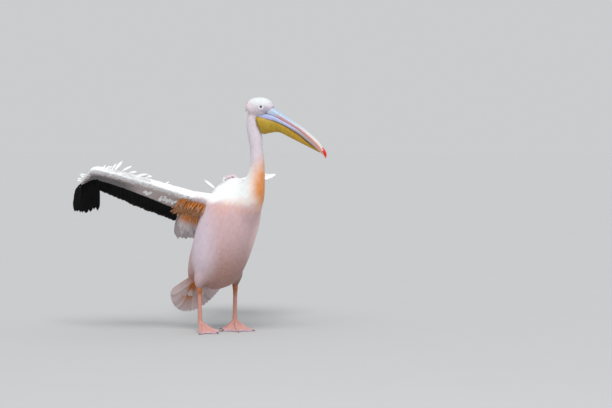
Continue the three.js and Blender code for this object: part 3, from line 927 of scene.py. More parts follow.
class PELICAN_OT_skin(bpy.types.Operator):
    """One skin over the flesh, drawn in by the depth of the coat, with eyelids and bare face"""

    bl_idname = "pelican.skin"
    bl_label = "Skin"

    def execute(self, context):
        mesh = refine_head(remeshed(merged_copies(FLESH, 0.5 * MM), SKIN_VOXEL))
        points = points_of(mesh)
        normals = read(mesh.vertex_normals, "vector", 3).astype(float)
        edges = read(mesh.edges, "vertices", 2, np.int32)
        owner = nearest_node(points)
        fields = coat_fields(points, normals, owner)
        weight = np.array([EASE.get(name, LIMB_EASE) for name in FLESH])[owner]
        weight = relaxed(weight, edges, 0.5, 10)
        smooth = relaxed(points, edges, weight, 40)
        shrunk = relaxed(np.sum((smooth - points) * normals, axis=1), edges, 0.5, 70)
        solid = np.array([name in EASE for name in FLESH])[owner]
        points = smooth - normals * (shrunk * relaxed(solid.astype(float), edges, 0.5, 10))[:, None]
        points = relaxed(points + relaxed(fields.pop("draw"), edges, 0.5, 8), edges, 0.12, 4)
        for name, rounds in FIELD_EASE.items():
            fields[name] = relaxed(fields[name], edges, 0.5, rounds)
        normals = self.settle(mesh, points)
        bare = bareness(points)
        depth = fields["coat"][:, 2] * MM * (1 - 0.85 * bare)
        depth = np.minimum(depth, 0.3 * wall_thickness(mesh, points, normals))
        depth = relaxed(depth, edges, 0.5, 4)
        points = set_eyelids(points - normals * depth[:, None])
        normals = self.settle(mesh, points)
        lie = fields.pop("lie")
        store(mesh, "lie", lie - normals * np.sum(lie * normals, axis=1)[:, None])
        store(mesh, "out", relaxed(normals, edges, 0.5, 3))
        fields["coat"][:, 2] = depth / MM
        for name, values in fields.items():
            store(mesh, name, values)
        store(mesh, "bare", bare)
        store(mesh, "owner", owner.astype(float))
        mesh.shade_smooth()
        add_piece("skin", mesh, skin_material(), "plumage", FLESH)
        return {"FINISHED"}

    def settle(self, mesh, points):
        """Moves the mesh to the points and gives its new normals."""
        move_to(mesh, points)
        return read(mesh.vertex_normals, "vector", 3).astype(float)


def wall_thickness(mesh, points, normals):
    """How thick the body is under each point."""
    polygons = [list(polygon.vertices) for polygon in mesh.polygons]
    tree = BVHTree.FromPolygons([Vector(p) for p in points], polygons)
    thickness = np.full(len(points), 1.0)
    for i, (p, n) in enumerate(zip(points, normals)):
        hit = tree.ray_cast(Vector(p - n * 1e-4), Vector(-n), 0.05)
        if hit[0] is not None:
            thickness[i] = hit[3]
    return thickness


def skin_material():
    c = settings().bare
    material, tree, shader = new_material("Skin under the coat", 0.7)
    place = own_place(tree)
    mottle = noise(tree, place, 120, 4)
    face = blend(tree, ramp(tree, mottle, 0.35, 0.7, 0, 0.5), c.face, settings().plumage.lilac)
    for side in SIDES.values():
        rim = ball(tree, place, HEAD_AT + turned((side * EYE_OUT, -EYE_FRONT, EYE_UP)), (14, 14, 14), 0.25)
        face = blend(tree, times(tree, rim, 0.8), face, settings().plumage.white)
    tint = blend(tree, attribute(tree, "bare"), marking(tree), face)
    paint(tree, shader, tint, ramp(tree, mottle, 0.3, 0.7, 0.5, 0.75))
    put_bump(tree, shader, maths(tree, "ADD", cells(tree, place, 900), mottle), 0.4, 0.0005)
    return material


# ---- Coat --------------------------------------------------------------------------------------


def finish_base(bm, name):
    """A small feather or lock lying flat, one long and one wide. Its height is kept as its rise."""
    bmesh.ops.solidify(bm, geom=bm.faces[:], thickness=0.045)
    bmesh.ops.recalc_face_normals(bm, faces=bm.faces)
    mesh = mesh_from(bm, name)
    mesh.set_sharp_from_angle(angle=math.radians(40))
    points = read(mesh.vertices, "co", 3)
    store(mesh, "rise", points[:, 2].copy())
    points[:, 2] = 0
    mesh.vertices.foreach_set("co", points.ravel())
    return new_object("scratch", mesh)


def base_lock(name, blades, rows, seed):
    """A lock of narrow tapering blades that part a little towards the tip."""
    bm = new_sheets("Vane")
    rng = np.random.default_rng(seed)
    for k in range(blades):
        off = k - (blades - 1) / 2
        angle = off * 0.09 + rng.normal(0, 0.02)
        reach, height = rng.uniform(0.86, 1.0), rng.uniform(0.85, 1)

        def place(across, along):
            width = 1.3 / blades * min(1, 0.5 + 2 * along) * (1 - 0.72 * along**4)
            x = off * 0.55 / blades + (across - 0.5) * width + math.sin(angle) * along * 0.7
            return Vector((x, along * reach, 0.74 + 0.26 * height * math.sin(along * math.pi / 2) + 0.02 * k))

        patch(bm, 1, rows, place)
    return finish_base(bm, name)


def base_vane(name, width, fray, arch):
    """A single broad vane with a frayed tip. arch bends the tip back down."""
    bm = new_sheets("Vane")

    def place(across, along):
        x = 2 * across - 1
        rounding = math.sqrt(max(0, 1 - max(0, (along - 0.5) / 0.52) ** 2.2))
        outline = width * min(1, 0.45 + 1.5 * along) * rounding
        torn = fray * (0.5 + 0.5 * math.cos(x * 11 + width * 9)) * max(0, along - 0.7) * 3.3
        rise = 0.45 + 0.55 * math.sin(along * math.pi * (0.5 + 0.35 * arch))
        rise -= 0.12 * x * x * (0.4 + 0.6 * along)
        return Vector((x * outline / 2, along * (1 - 0.06 * x * x) - torn, rise))

    patch(bm, 4, 5, place)
    return finish_base(bm, name)


# The kinds of small feathers: three locks, two broad vanes, two long plumes and two fine locks.
LOCKS, VANES, PLUMES, FINE = range(0, 3), range(3, 5), range(5, 7), range(7, 9)
# The side of each tuft's patch on the OFBake map.
PATCH_SIZE = 0.003


def feather_kinds():
    made = [base_lock(f"kind_{k}", 3, 4, k + 1) for k in range(3)]
    made += [base_vane("kind_3", 1.0, 0.06, 0), base_vane("kind_4", 0.9, 0.09, 0)]
    made += [base_vane("kind_5", 0.8, 0.12, 0.4), base_vane("kind_6", 0.7, 0.1, 1)]
    made += [base_lock(f"kind_{k}", 2, 3, k + 1) for k in (7, 8)]
    kinds = bpy.data.collections.new("feather kinds")
    for obj in made:
        kinds.objects.link(obj)
    return kinds


def coat_tree(skin, vanes):
    """Geometry nodes that set a vane on each root, real mesh, lying close over the skin."""
    tree = bpy.data.node_groups.new("Coat", "GeometryNodeTree")
    tree.interface.new_socket("Geometry", in_out="INPUT", socket_type="NodeSocketGeometry")
    tree.interface.new_socket("Geometry", in_out="OUTPUT", socket_type="NodeSocketGeometry")
    given, out = tree.nodes.new("NodeGroupInput"), tree.nodes.new("NodeGroupOutput")

    def named(name, kind="FLOAT_VECTOR"):
        made = node(tree, "GeometryNodeInputNamedAttribute", {"Name": name}, data_type=kind)
        return made.outputs["Attribute"]

    size = axes(tree, named("size"))
    spread = node(tree, "ShaderNodeCombineXYZ", {0: size[0], 1: size[1], 2: 1.0}).outputs[0]
    ways = {0: named("out"), 1: named("lie")}
    turn = node(tree, "FunctionNodeAxesToRotation", ways, primary_axis="Z", secondary_axis="Y").outputs[0]
    kinds = node(tree, "GeometryNodeCollectionInfo", {
        "Collection": vanes, "Separate Children": True, "Reset Children": True,
    })
    set_out = node(tree, "GeometryNodeInstanceOnPoints", {
        "Points": given.outputs[0], "Instance": kinds.outputs[0], "Pick Instance": True,
        "Instance Index": named("kind", "INT"), "Rotation": turn, "Scale": spread,
    })
    real = node(tree, "GeometryNodeRealizeInstances", {0: set_out.outputs[0]})
    hide = node(tree, "GeometryNodeObjectInfo", {"Object": skin}).outputs["Geometry"]
    here = node(tree, "GeometryNodeInputPosition").outputs[0]

    def sampled(value):
        inputs = {"Mesh": hide, "Value": value, "Sample Position": here}
        made = node(tree, "GeometryNodeSampleNearestSurface", inputs, data_type="FLOAT_VECTOR")
        return made.outputs["Value"]

    lift = times(tree, named("rise", "FLOAT"), size[2])
    normal = vectors(tree, "NORMALIZE", sampled(named("out")))[0]
    close = vectors(tree, "ADD", sampled(here), scaled(tree, normal, lift))[0]
    free = vectors(tree, "ADD", here, scaled(tree, named("out"), lift))[0]
    shares = {0: named("cling", "FLOAT"), 4: free, 5: close}
    where = node(tree, "ShaderNodeMix", shares, data_type="VECTOR").outputs[1]
    laid = node(tree, "GeometryNodeSetPosition", {"Geometry": real.outputs[0], "Position": where})
    patch_map = vectors(tree, "MULTIPLY_ADD", named("Vane"), (PATCH_SIZE, PATCH_SIZE, 0), named("root_uv"))[0]
    kept = {"Geometry": laid.outputs[0], "Name": "OFBake", "Value": patch_map}
    stored = node(tree, "GeometryNodeStoreNamedAttribute", kept, data_type="FLOAT2", domain="CORNER")
    tree.links.new(stored.outputs[0], out.inputs[0])
    return tree


def unwrapped(points, triangles):
    """An unwrap of a part of the skin: a map point for each corner of each triangle."""
    used, faces = np.unique(triangles, return_inverse=True)
    mesh = bpy.data.meshes.new("unwrap")
    mesh.from_pydata(points[used].tolist(), [], faces.reshape(-1, 3).tolist())
    obj = new_object("scratch", mesh)
    bpy.context.view_layer.objects.active = obj
    obj.select_set(True)
    bpy.ops.object.mode_set(mode="EDIT")
    bpy.ops.mesh.select_all(action="SELECT")
    bpy.ops.uv.smart_project(angle_limit=math.radians(66), island_margin=0.004)
    bpy.ops.object.mode_set(mode="OBJECT")
    found = read(mesh.uv_layers[0].uv, "vector", 2)
    bpy.data.objects.remove(obj)
    bpy.data.meshes.remove(mesh)
    return found.reshape(-1, 3, 2)


class Hide:
    """The finished skin, read as numbers: where feathers root and what they take from it there."""

    def __init__(self, skin):
        mesh = skin.data
        mesh.calc_loop_triangles()
        self.points = points_of(mesh)
        self.triangles = read(mesh.loop_triangles, "vertices", 3, np.int32)
        self.fields = {}
        for name in ("lie", "out", "coat"):
            self.fields[name] = read(mesh.attributes[name].data, "vector", 3)
        for name in ("cling", "bare", "owner", "under", "back", "reach"):
            self.fields[name] = read(mesh.attributes[name].data, "value", 1)
        self.corners = self.points[self.triangles]
        self.node = self.fields["owner"][self.triangles[:, 0]].round().astype(int)
        self.height = (self.corners[:, :, 2].mean(1) - ORIGIN[2]) / MM
        self.tree = BVHTree.FromPolygons(self.points.tolist(), self.triangles.tolist())

    def at(self, name, face, share):
        """A field of the skin at places given by triangle and share of each corner."""
        return np.einsum("ij,ij...->i...", share, self.fields[name][self.triangles[face]])

    def strew(self, rng):
        """Roots all over, no closer to each other than the spacing there."""
        cross = np.cross(self.corners[:, 1] - self.corners[:, 0], self.corners[:, 2] - self.corners[:, 0])
        gap = self.fields["coat"][self.triangles, 1].mean(1) * MM
        wanted = np.linalg.norm(cross, axis=1) / 2 / gap**2
        count = int(wanted.sum() * 4)
        face = rng.choice(len(wanted), count, p=wanted / wanted.sum())
        a, b = rng.random((2, count))
        flip = a + b > 1
        a[flip], b[flip] = 1 - a[flip], 1 - b[flip]
        share = np.column_stack([1 - a - b, a, b])
        where = np.einsum("ij,ijk->ik", share, self.corners[face])
        tree = KDTree(count)
        for i, p in enumerate(where):
            tree.insert(p, i)
        tree.balance()
        blocked = np.zeros(count, bool)
        kept = []
        for i in range(count):
            if not blocked[i]:
                kept.append(i)
                for _, j, _ in tree.find_range(where[i], gap[face[i]]):
                    blocked[j] = True
        return face[kept], share[kept]

    def touch(self, point):
        """The nearest place on the skin to a point of the bird's frame."""
        _, _, face, _ = self.tree.find_nearest(to_row(point))
        a, b, c = self.corners[face]
        q = np.array(to_row(point))
        normal = np.cross(b - a, c - a)
        whole = normal @ normal
        share = np.array([
            np.cross(c - b, q - b) @ normal / whole, np.cross(a - c, q - c) @ normal / whole,
            np.cross(b - a, q - a) @ normal / whole,
        ]).clip(0, 1)
        return face, share / share.sum()


# How far in front of the back edge of the wing's flesh a feather roots and ends at least, in millimetres.
LEAST_REACH, END_GAP = 19, 7
# Pieces of the coat: the nodes that each covers and, for the trunk, from which height to which.
COAT_PIECES = {
    "head_feathers": (("head",), 0, 9999),
    "neck_feathers": (("neck_lower", "neck_upper"), 0, 9999),
    "breast_feathers": (("trunk",), 525, 9999),
    "flank_feathers": (("trunk",), 375, 525),
    "belly_feathers": (("trunk",), 0, 375),
    "thigh_feathers": (("thigh_right", "thigh_left"), 0, 9999),
    "wing_coverts_right": (("upper_arm_right", "forearm_right", "hand_right"), 0, 9999),
    "wing_coverts_left": (("upper_arm_left", "forearm_left", "hand_left"), 0, 9999),
}


class PELICAN_OT_coat(bpy.types.Operator):
    """Overlapping feathers over the whole skin, in one piece for each part of the body"""

    bl_idname = "pelican.coat"
    bl_label = "Feather coat"

    def execute(self, context):
        skin = bpy.data.objects["skin"]
        hide = Hide(skin)
        rng = np.random.default_rng(settings().plumage.seed)
        kinds = feather_kinds()
        tree = coat_tree(skin, kinds)
        material = plumage_material("Contour feathers")
        face, share = hide.strew(rng)
        thigh = np.isin(hide.node[face], [FLESH.index("thigh_right"), FLESH.index("thigh_left")])
        steady = np.linalg.norm(hide.at("lie", face, share), axis=1) > np.where(thigh, 0.75, 0.15)
        clear = (hide.at("bare", face, share) < 0.35) & (hide.at("reach", face, share) > LEAST_REACH)
        for name, (parts, low, high) in COAT_PIECES.items():
            patch_faces = np.isin(hide.node, [FLESH.index(part) for part in parts])
            patch_faces &= (hide.height >= low) & (hide.height < high)
            mine = patch_faces[face] & steady & clear
            coat = self.contour(hide, name, face[mine], share[mine], rng)
            grow(name, hide, patch_faces, coat, tree, material)
        strays, patch_faces = loose_feathers(hide, rng)
        grow("scapular_feathers", hide, patch_faces, strays, tree, material)
        for base in list(kinds.objects):
            bpy.data.objects.remove(base)
        bpy.data.collections.remove(kinds)
        return {"FINISHED"}

    def contour(self, hide, name, face, share, rng):
        """The feathers that lie along the skin, as one row of values each."""
        count = len(face)
        lie, out, coat = (hide.at(key, face, share) for key in ("lie", "out", "coat"))
        across = np.cross(out, lie)
        across /= np.linalg.norm(across, axis=1)[:, None]
        lie = lie / np.linalg.norm(lie, axis=1)[:, None] + across * rng.normal(0, 0.07, count)[:, None]
        longest = hide.at("reach", face, share) - END_GAP
        length = np.minimum(coat[:, 0] * rng.uniform(0.85, 1.15, count), longest)
        width = np.minimum(coat[:, 1] * rng.uniform(2.1, 2.6, count), length * 1.1)
        kind = rng.choice(FINE if name == "head_feathers" else LOCKS, count)
        back = hide.at("back", face, share)
        broad = back > 0.3
        kind[broad] = rng.choice(VANES, broad.sum())
        facing = np.array(out, float)
        facing /= np.linalg.norm(facing, axis=1)[:, None]
        return {
            "face": face, "share": share, "lie": lie, "out": out, "facing": facing, "kind": kind,
            "size": np.column_stack([width, length, coat[:, 2] * rng.uniform(0.8, 1.15, count)]),
            "cling": hide.at("cling", face, share), "under": hide.at("under", face, share),
            "tone": rng.random(count),
        }


# Rows and feathers per row of the scapulars.
SCAPULAR_ROWS, SCAPULARS = 6, 22
FORWARD_LEFT, UPWARD = np.array([0.707, -0.707, 0]), np.array([0, 0, 1.0])
LIT_SIDE = np.array([-0.6, -0.6, 0.5])
# The larger stray feathers of the right wing's edge: place along the wing, way sideways and up, length,
# width, arch, kind and how much of the lining's painted shade they take.
STRAYS = [
    (0.834, 0.7, 0.72, 56, 15, 5, VANES[1], 0.0), (0.855, 0.6, 0.75, 34, 8, 4, VANES[0], 0.0),
    (0.78, 0.9, 0.42, 60, 15, 9, PLUMES[1], 0.16), (0.73, 0.95, 0.05, 46, 14, 10, PLUMES[0], 0.22),
    (0.655, 0.9, 0.06, 52, 15, 6, PLUMES[0], 0.2), (0.63, 0.9, 0.12, 44, 13, 6, PLUMES[1], 0.24),
    (0.61, 0.9, 0.04, 40, 12, 6, VANES[0], 0.15),
]
SMALL_STRAYS = (0.88, 0.9, 0.93, 0.56, 0.41)
# Lumps of the right wing's lining: place along the wing and share of the coverts' length.
LINING_LUMPS = [
    (0.52, 0.48), (0.54, 0.52), (0.56, 0.48), (0.32, 0.5), (0.35, 0.54), (0.38, 0.5), (0.41, 0.52),
    (0.3, 0.48),
]
WRIST_TUFTS, FEATHERS_PER_LUMP, LEFT_EDGE_COUNT = 8, 8, 40


def loose_feathers(hide, rng):
    """Scapulars over the shoulders, ruffled feathers of the wing's edge and tufts of the lining."""
    rows = []

    # under: how much of the wing lining's painted shade the feather takes.
    def add(root, way, up, size, kind, under=0.0, flush=0.0):
        face, share = hide.touch(root)
        if flush:
            normal = unit(share @ hide.fields["out"][hide.triangles[face]])
            ground = (share @ hide.corners[face] - ORIGIN) / MM + normal * 2
            root = np.asarray(root) * (1 - flush) + ground * flush
            up = unit(up * (1 - flush) + normal * flush)
            way = unit(way - up * (way @ up) * flush)
        rows.append((face, share, way, up, size, kind, under, root, flush))

    for name, side in SIDES.items():
        ruffle, span, tilt = (0.4, 94, -0.45) if name == "left" else (0.0, 60, -0.5)
        for row in range(SCAPULAR_ROWS):
            for k in range(SCAPULARS):
                t = (k + rng.uniform(-0.4, 0.4)) / (SCAPULARS - 1)
                height = 716 - 56 * t - row * 5 + rng.normal(0, 2)
                root = (side * (30 + span * t), -116 + 46 * t + row * 12, height)
                lift = ruffle * rng.uniform(0.4, 1.1) * (1 - 0.8 * t)
                flush = float(np.clip(1.7 * t - 0.1, 0, 1)) if name == "left" else 1.0
                way = np.array([side * (0.06 + 0.36 * t), 0.9, lift - 0.2 - 0.25 * t])
                way = unit(way + rng.normal(0, 0.05, 3))
                up = unit(np.array([tilt, -0.45, 0.65]) + rng.normal(0, 0.08, 3))
                wide, long = rng.uniform(14, 22), rng.uniform(52, 78) * (1 - 0.25 * t)
                size = (wide, long, rng.uniform(2.5, 6) * (1.2 - 0.7 * flush))
                kind = rng.choice(PLUMES if rng.random() < 0.8 * (1 - flush) else LOCKS)
                add(root, way, up, size, kind, 0, flush)
    right, left = Wing("right"), Wing("left")

    def square_to(way):
        """The direction nearest to the lit side that stands square to the way."""
        return unit(np.cross(np.cross(way, LIT_SIDE), way))

    def lifted(s, sideways, rise, length, width, arch, kind, under=0.0):
        way = unit(FORWARD_LEFT * sideways + UPWARD * rise)
        root = right.front(s) + right.chord(s) * 20 + right.upward(s) * 8
        add(root, way, square_to(way), (width, length, arch), kind, under)

    for stray in STRAYS:
        lifted(*stray)
    for s in SMALL_STRAYS:
        lifted(s, 0.7, rng.uniform(0.2, 0.5), rng.uniform(14, 20), 6, 3, VANES[0])
    for _ in range(WRIST_TUFTS):
        s = rng.uniform(1.35, 1.95)
        way = unit(right.outward * 0.75 + right.chord(s) * 0.45 + rng.normal(0, 0.2, 3))
        size = (rng.uniform(5, 8), rng.uniform(18, 30), 3)
        add(right.front(s), way, square_to(way), size, rng.choice(PLUMES), 0.1)
    for s, b in LINING_LUMPS:
        back = right.chord(s) * b * np.interp(s, STATIONS, COVERT_LENGTH)
        root = right.front(s) + back - right.upward(s) * 12
        up = unit(LIT_SIDE * 0.7 - right.upward(s))
        for _ in range(FEATHERS_PER_LUMP):
            way = unit(right.chord(s) + right.outward * 0.3 + rng.normal(0, 0.25, 3))
            size = (rng.uniform(13, 18), rng.uniform(16, 24), rng.uniform(2, 4))
            add(root + rng.normal(0, 6, 3), way, up, size, rng.choice(PLUMES), 0.2)
    for _ in range(LEFT_EDGE_COUNT):
        s = rng.uniform(0.75, 1.2)
        way = unit(left.outward * 0.45 + left.chord(s) * 0.9 + rng.normal(0, 0.08, 3))
        root = left.front(s) + left.chord(s) * rng.uniform(-2, 24) + left.outward * rng.uniform(0, 6)
        add(root, way, square_to(way), (rng.uniform(16, 22), rng.uniform(22, 32), 3), rng.choice(VANES))
    way = unit(-FORWARD_LEFT * 0.8 + UPWARD * 0.6)
    add((-85, -62, 679), way, square_to(way), (14, 66, 7), VANES[1])

    face, share, way, up, size, kind, under, root, flush = (np.array(column) for column in zip(*rows))
    above = [FLESH.index(part) for part in ("head", "neck_upper")]
    patch_faces = (hide.height > 540) & ~np.isin(hide.node, above)
    patch_faces[face] = True
    count = len(rows)
    coat = {
        "face": face, "share": share, "lie": way, "out": up, "facing": up, "size": size.astype(float),
        "kind": kind.astype(int), "cling": (flush > 0.95).astype(float), "under": under.astype(float),
        "tone": rng.random(count), "root": ORIGIN + root * MM,
    }
    return coat, patch_faces


def grow(name, hide, patch_faces, coat, tree, material):
    """Sets the feathers of one piece, each with its patch on an unwrap of the skin beneath."""
    chosen = np.flatnonzero(patch_faces)
    uv = unwrapped(hide.points, hide.triangles[chosen])
    row = np.searchsorted(chosen, coat["face"])
    root_uv = np.einsum("ij,ijk->ik", coat["share"], uv[row])
    where = coat.get("root", np.einsum("ij,ijk->ik", coat["share"], hide.corners[coat["face"]]))
    mesh = bpy.data.meshes.new(name)
    mesh.from_pydata(where.tolist(), [], [])
    store(mesh, "lie", coat["lie"])
    store(mesh, "out", coat["out"] / np.linalg.norm(coat["out"], axis=1)[:, None])
    store(mesh, "facing", coat["facing"])
    store(mesh, "size", coat["size"] * MM)
    store(mesh, "root_uv", np.column_stack([root_uv, np.zeros(len(row))]))
    for key in ("cling", "tone", "under"):
        store(mesh, key, coat[key])
    kind = mesh.attributes.new("kind", "INT", "POINT")
    kind.data.foreach_set("value", coat["kind"].astype(np.int32))
    obj = new_object("scratch", mesh)
    obj.modifiers.new("Coat", "NODES").node_group = tree
    grown = baked(obj)
    for spare in ("lie", "out", "size", "cling", "root_uv", "kind", "rise"):
        if spare in grown.attributes:
            grown.attributes.remove(grown.attributes[spare])
    add_piece(name, grown, material, "plumage")


# ---- Long feathers -----------------------------------------------------------------------------


# How deep the tip of a long feather is frayed, as a share of its length.
FRAY = 0.004
# How thick vanes and tufts are, in millimetres.
VANE_THICK, TUFT_THICK = 0.7, 0.6
AXILLARIES, TUFT_COUNT, WISPS = 12, 420, 16


class Quills:
    """Long feathers gathered into one mesh: vanes first, then their shafts."""

    def __init__(self, seed, columns=8, rows=20):
        self.bm = new_sheets("Vane")
        self.tone = self.bm.verts.layers.float.new("tone")
        self.shaft = self.bm.verts.layers.float.new("shaft")
        self.stain = self.bm.verts.layers.float.new("stain")
        self.rng = np.random.default_rng(seed)
        self.columns, self.rows = columns, rows
        self.lines = []

    def add(
        self, line, across, half_width, above=(0, 0, 1), twist=0.09, cup=0.12, pointed=0.16, stain=0.0,
        narrow=0.0, blunt=0.88,
    ):
        """line(t) runs from root to tip in the bird's frame. across points to the outer edge, above to the
        side that shows from over the wing."""
        tone = float(self.rng.random())
        wave, ragged = self.rng.uniform(0, 6), self.rng.uniform(0.0, 0.03)
        middle = unit(line(0.55) - line(0.45))
        flip = 1 if np.cross(across, middle) @ np.asarray(above, float) > 0 else -1

        def place(u, t):
            x = 2 * u - 1
            ahead = ahead_on(line, t)
            side = unit(across - ahead * (across @ ahead))
            up = flip * np.cross(side, ahead)
            width = half_width * min(1, 0.3 + 2.2 * t)
            width *= math.sqrt(1 - blunt * max(0, (t - 1 + pointed) / pointed) ** 2.2)
            width *= 1 + ragged * math.sin(t * 23 + wave + x) - narrow * t
            along = t - (FRAY * (1 + math.cos(x * 9 + wave)) + 0.02 * x * x) * smoothstep(t, 0.8, 1)
            flat = x * width
            return to_row(line(along) + side * flat + up * (twist * flat - cup * x * x * width * 0.5))

        for v in patch(self.bm, self.columns, self.rows, place):
            v[self.tone] = tone
            v[self.stain] = stain
        self.lines.append((line, half_width, tone))

    def finish(self, thickness, shafts=True):
        bm = self.bm
        bmesh.ops.solidify(bm, geom=bm.faces[:], thickness=thickness * MM)
        for line, half_width, tone in self.lines if shafts else ():
            before = set(bm.verts)

            def place(turn, along):
                angle = turn * math.tau
                t = min(along * 0.97, 1)
                radius = 0 if along in (0.0, 1.0) else 0.06 * half_width * (1.05 - along)
                ahead = ahead_on(line, t)
                side = unit(np.cross(ahead, (0, 0.3, 1)))
                up = np.cross(side, ahead)
                return to_row(line(t) + radius * (side * math.cos(angle) + up * 1.2 * math.sin(angle)))

            rolled(bm, 5, 9, place)
            for v in set(bm.verts) - before:
                v[self.tone] = tone
                v[self.shaft] = 1
        bmesh.ops.recalc_face_normals(bm, faces=bm.faces)
        mesh = mesh_from(bm, "quills")
        mesh.set_sharp_from_angle(angle=math.radians(75))
        return mesh


def bowed(root, tip, camber, side_bow=None):
    """A line from root to tip that arches upward, and bows to a side."""
    bow = np.zeros(3) if side_bow is None else side_bow
    return lambda t: root + (tip - root) * t + (np.array([0, 0, 4 * camber]) + bow) * t * (1 - t)


class PELICAN_OT_flight(bpy.types.Operator):
    """Primaries, secondaries and tertials of both wings, each with its own vanes and shaft"""

    bl_idname = "pelican.flight"
    bl_label = "Flight feathers"

    def execute(self, context):
        c = settings().plumage
        dark_streak = [v * 2.5 for v in c.black]
        black = flight_material("Black flight feathers", c.black, dark_streak, 0.0)
        fringed = flight_material("Fringed flight feathers", c.black, dark_streak, 0.7)
        buff = flight_material("Tertials", c.cream, c.white, 0.6, 70, c.rust)
        stained = flight_material("Stained axillaries", c.tan, c.tan_streak, 0.0, 60, c.rust)
        looks = {
            "primaries": (black, "flight_feathers"),
            "secondaries": (fringed, "flight_feathers"),
            "tertials": (buff, "tertial_feathers"),
        }
        for name in SIDES:
            wing = Wing(name)
            for row, shape in FLIGHT.items():
                quills = Quills(len(row) + wing.side)
                for k in range(shape["count"]):
                    self.add_feather(quills, wing, row, (k + 0.5) / shape["count"])
                if row == "tertials":
                    self.add_axillaries(quills, wing)
                material, slot = looks[row]
                add_piece(f"{row}_vanes_{name}", quills.finish(VANE_THICK), material, slot, [f"{row}_{name}"])
            tuft = self.armpit_tuft(wing).finish(TUFT_THICK, shafts=False)
            add_piece(f"axillary_tuft_{name}", tuft, stained, "tertial_feathers")
        return {"FINISHED"}

    def add_feather(self, quills, wing, row, x):
        shape = FLIGHT[row]
        tip, s = wing.tip(row, x)
        root = wing.coverts(s) * 0.62 + wing.front(s) * 0.38
        across = wing.tip(row, min(x + 0.02, 1))[0] - wing.tip(row, max(x - 0.02, 0))[0]
        across = unit(across) * 0.6 + wing.outward * 0.4
        wobble = quills.rng.normal(0, 2.0, 3)
        line = bowed(root, tip + wobble, shape["camber"])
        if row == "tertials":
            line = self.fanned(wing, x, tip + wobble)
        half_width = shape["half_width"] * quills.rng.uniform(0.94, 1.06) * (0.8 if row == "tertials" else 1)
        tips = dict(narrow=0.3, pointed=0.34, blunt=0.96) if row == "primaries" else dict(pointed=0.14)
        quills.add(line, across, half_width, wing.upward(s), stain=0.6 if row == "tertials" else 0, **tips)

    def fanned(self, wing, x, tip):
        """The line of an inner feather that leaves the armpit sideways and then falls to its tip."""
        armpit = wing.coverts(0.05) * 0.8 + wing.front(0.05) * 0.2
        start = armpit + wing.outward * 26 * x + (0, 0, 6 * x)
        turn = start + wing.outward * (20 + 70 * x) - (0, 0, 14 + 30 * (1 - x))
        return lambda t: (1 - t) ** 2 * start + 2 * t * (1 - t) * turn + t * t * tip

    def add_axillaries(self, quills, wing):
        """Long soft feathers of the armpit, in a fan in front of the tertials."""
        rng = quills.rng
        for layer in range(2):
            for k in range(AXILLARIES):
                x = (k + rng.uniform(0.1, 0.9)) / AXILLARIES
                tip, s = wing.tip("tertials", x * 1.06 - 0.03)
                below = -wing.upward(s) * (9 + 9 * layer)
                line = self.fanned(wing, x, tip + rng.normal(0, 4, 3))
                share = rng.uniform(0.86, 1.0) - 0.16 * layer
                across, half_width = wing.outward + rng.normal(0, 0.1, 3), rng.uniform(9, 14)
                stain = (1.2 + 0.6 * layer) * rng.uniform(0.6, 1.3)
                quills.add(
                    lambda t, line=line, below=below, share=share: line(t * share) + below,
                    across, half_width, wing.upward(s), pointed=0.4, cup=0.15, stain=stain, blunt=0.95,
                )

    def armpit_tuft(self, wing):
        """Short soft stained feathers that cover the armpit above the fan."""
        tuft = Quills(20 + wing.side, 2, 7)
        rng = tuft.rng
        for k in range(TUFT_COUNT):
            s = 0.25 * (k + rng.uniform(0, 1)) / TUFT_COUNT
            share = rng.uniform(0.25, 0.9)
            start = wing.front(s) * (1 - share) + wing.coverts(s) * share
            start = start - wing.upward(s) * rng.uniform(12, 26)
            fall = np.array([0, 0, -rng.uniform(34, 60) * (1.15 - share)])
            end = start + fall + wing.chord(s) * rng.uniform(2, 30) + wing.outward * rng.uniform(4, 44)
            stain = 0.35 + 2.2 * math.exp(-(((s - 0.14) / 0.1) ** 2)) * rng.uniform(0.9, 1.1)
            line = bowed(start, end, 3, wing.outward * rng.uniform(-4, 12))
            across, half_width = wing.outward + rng.normal(0, 0.07, 3), rng.uniform(1.5, 3.2)
            tuft.add(line, across, half_width, wing.upward(s), pointed=0.6, cup=0.05, stain=stain, blunt=0.98)
        return tuft


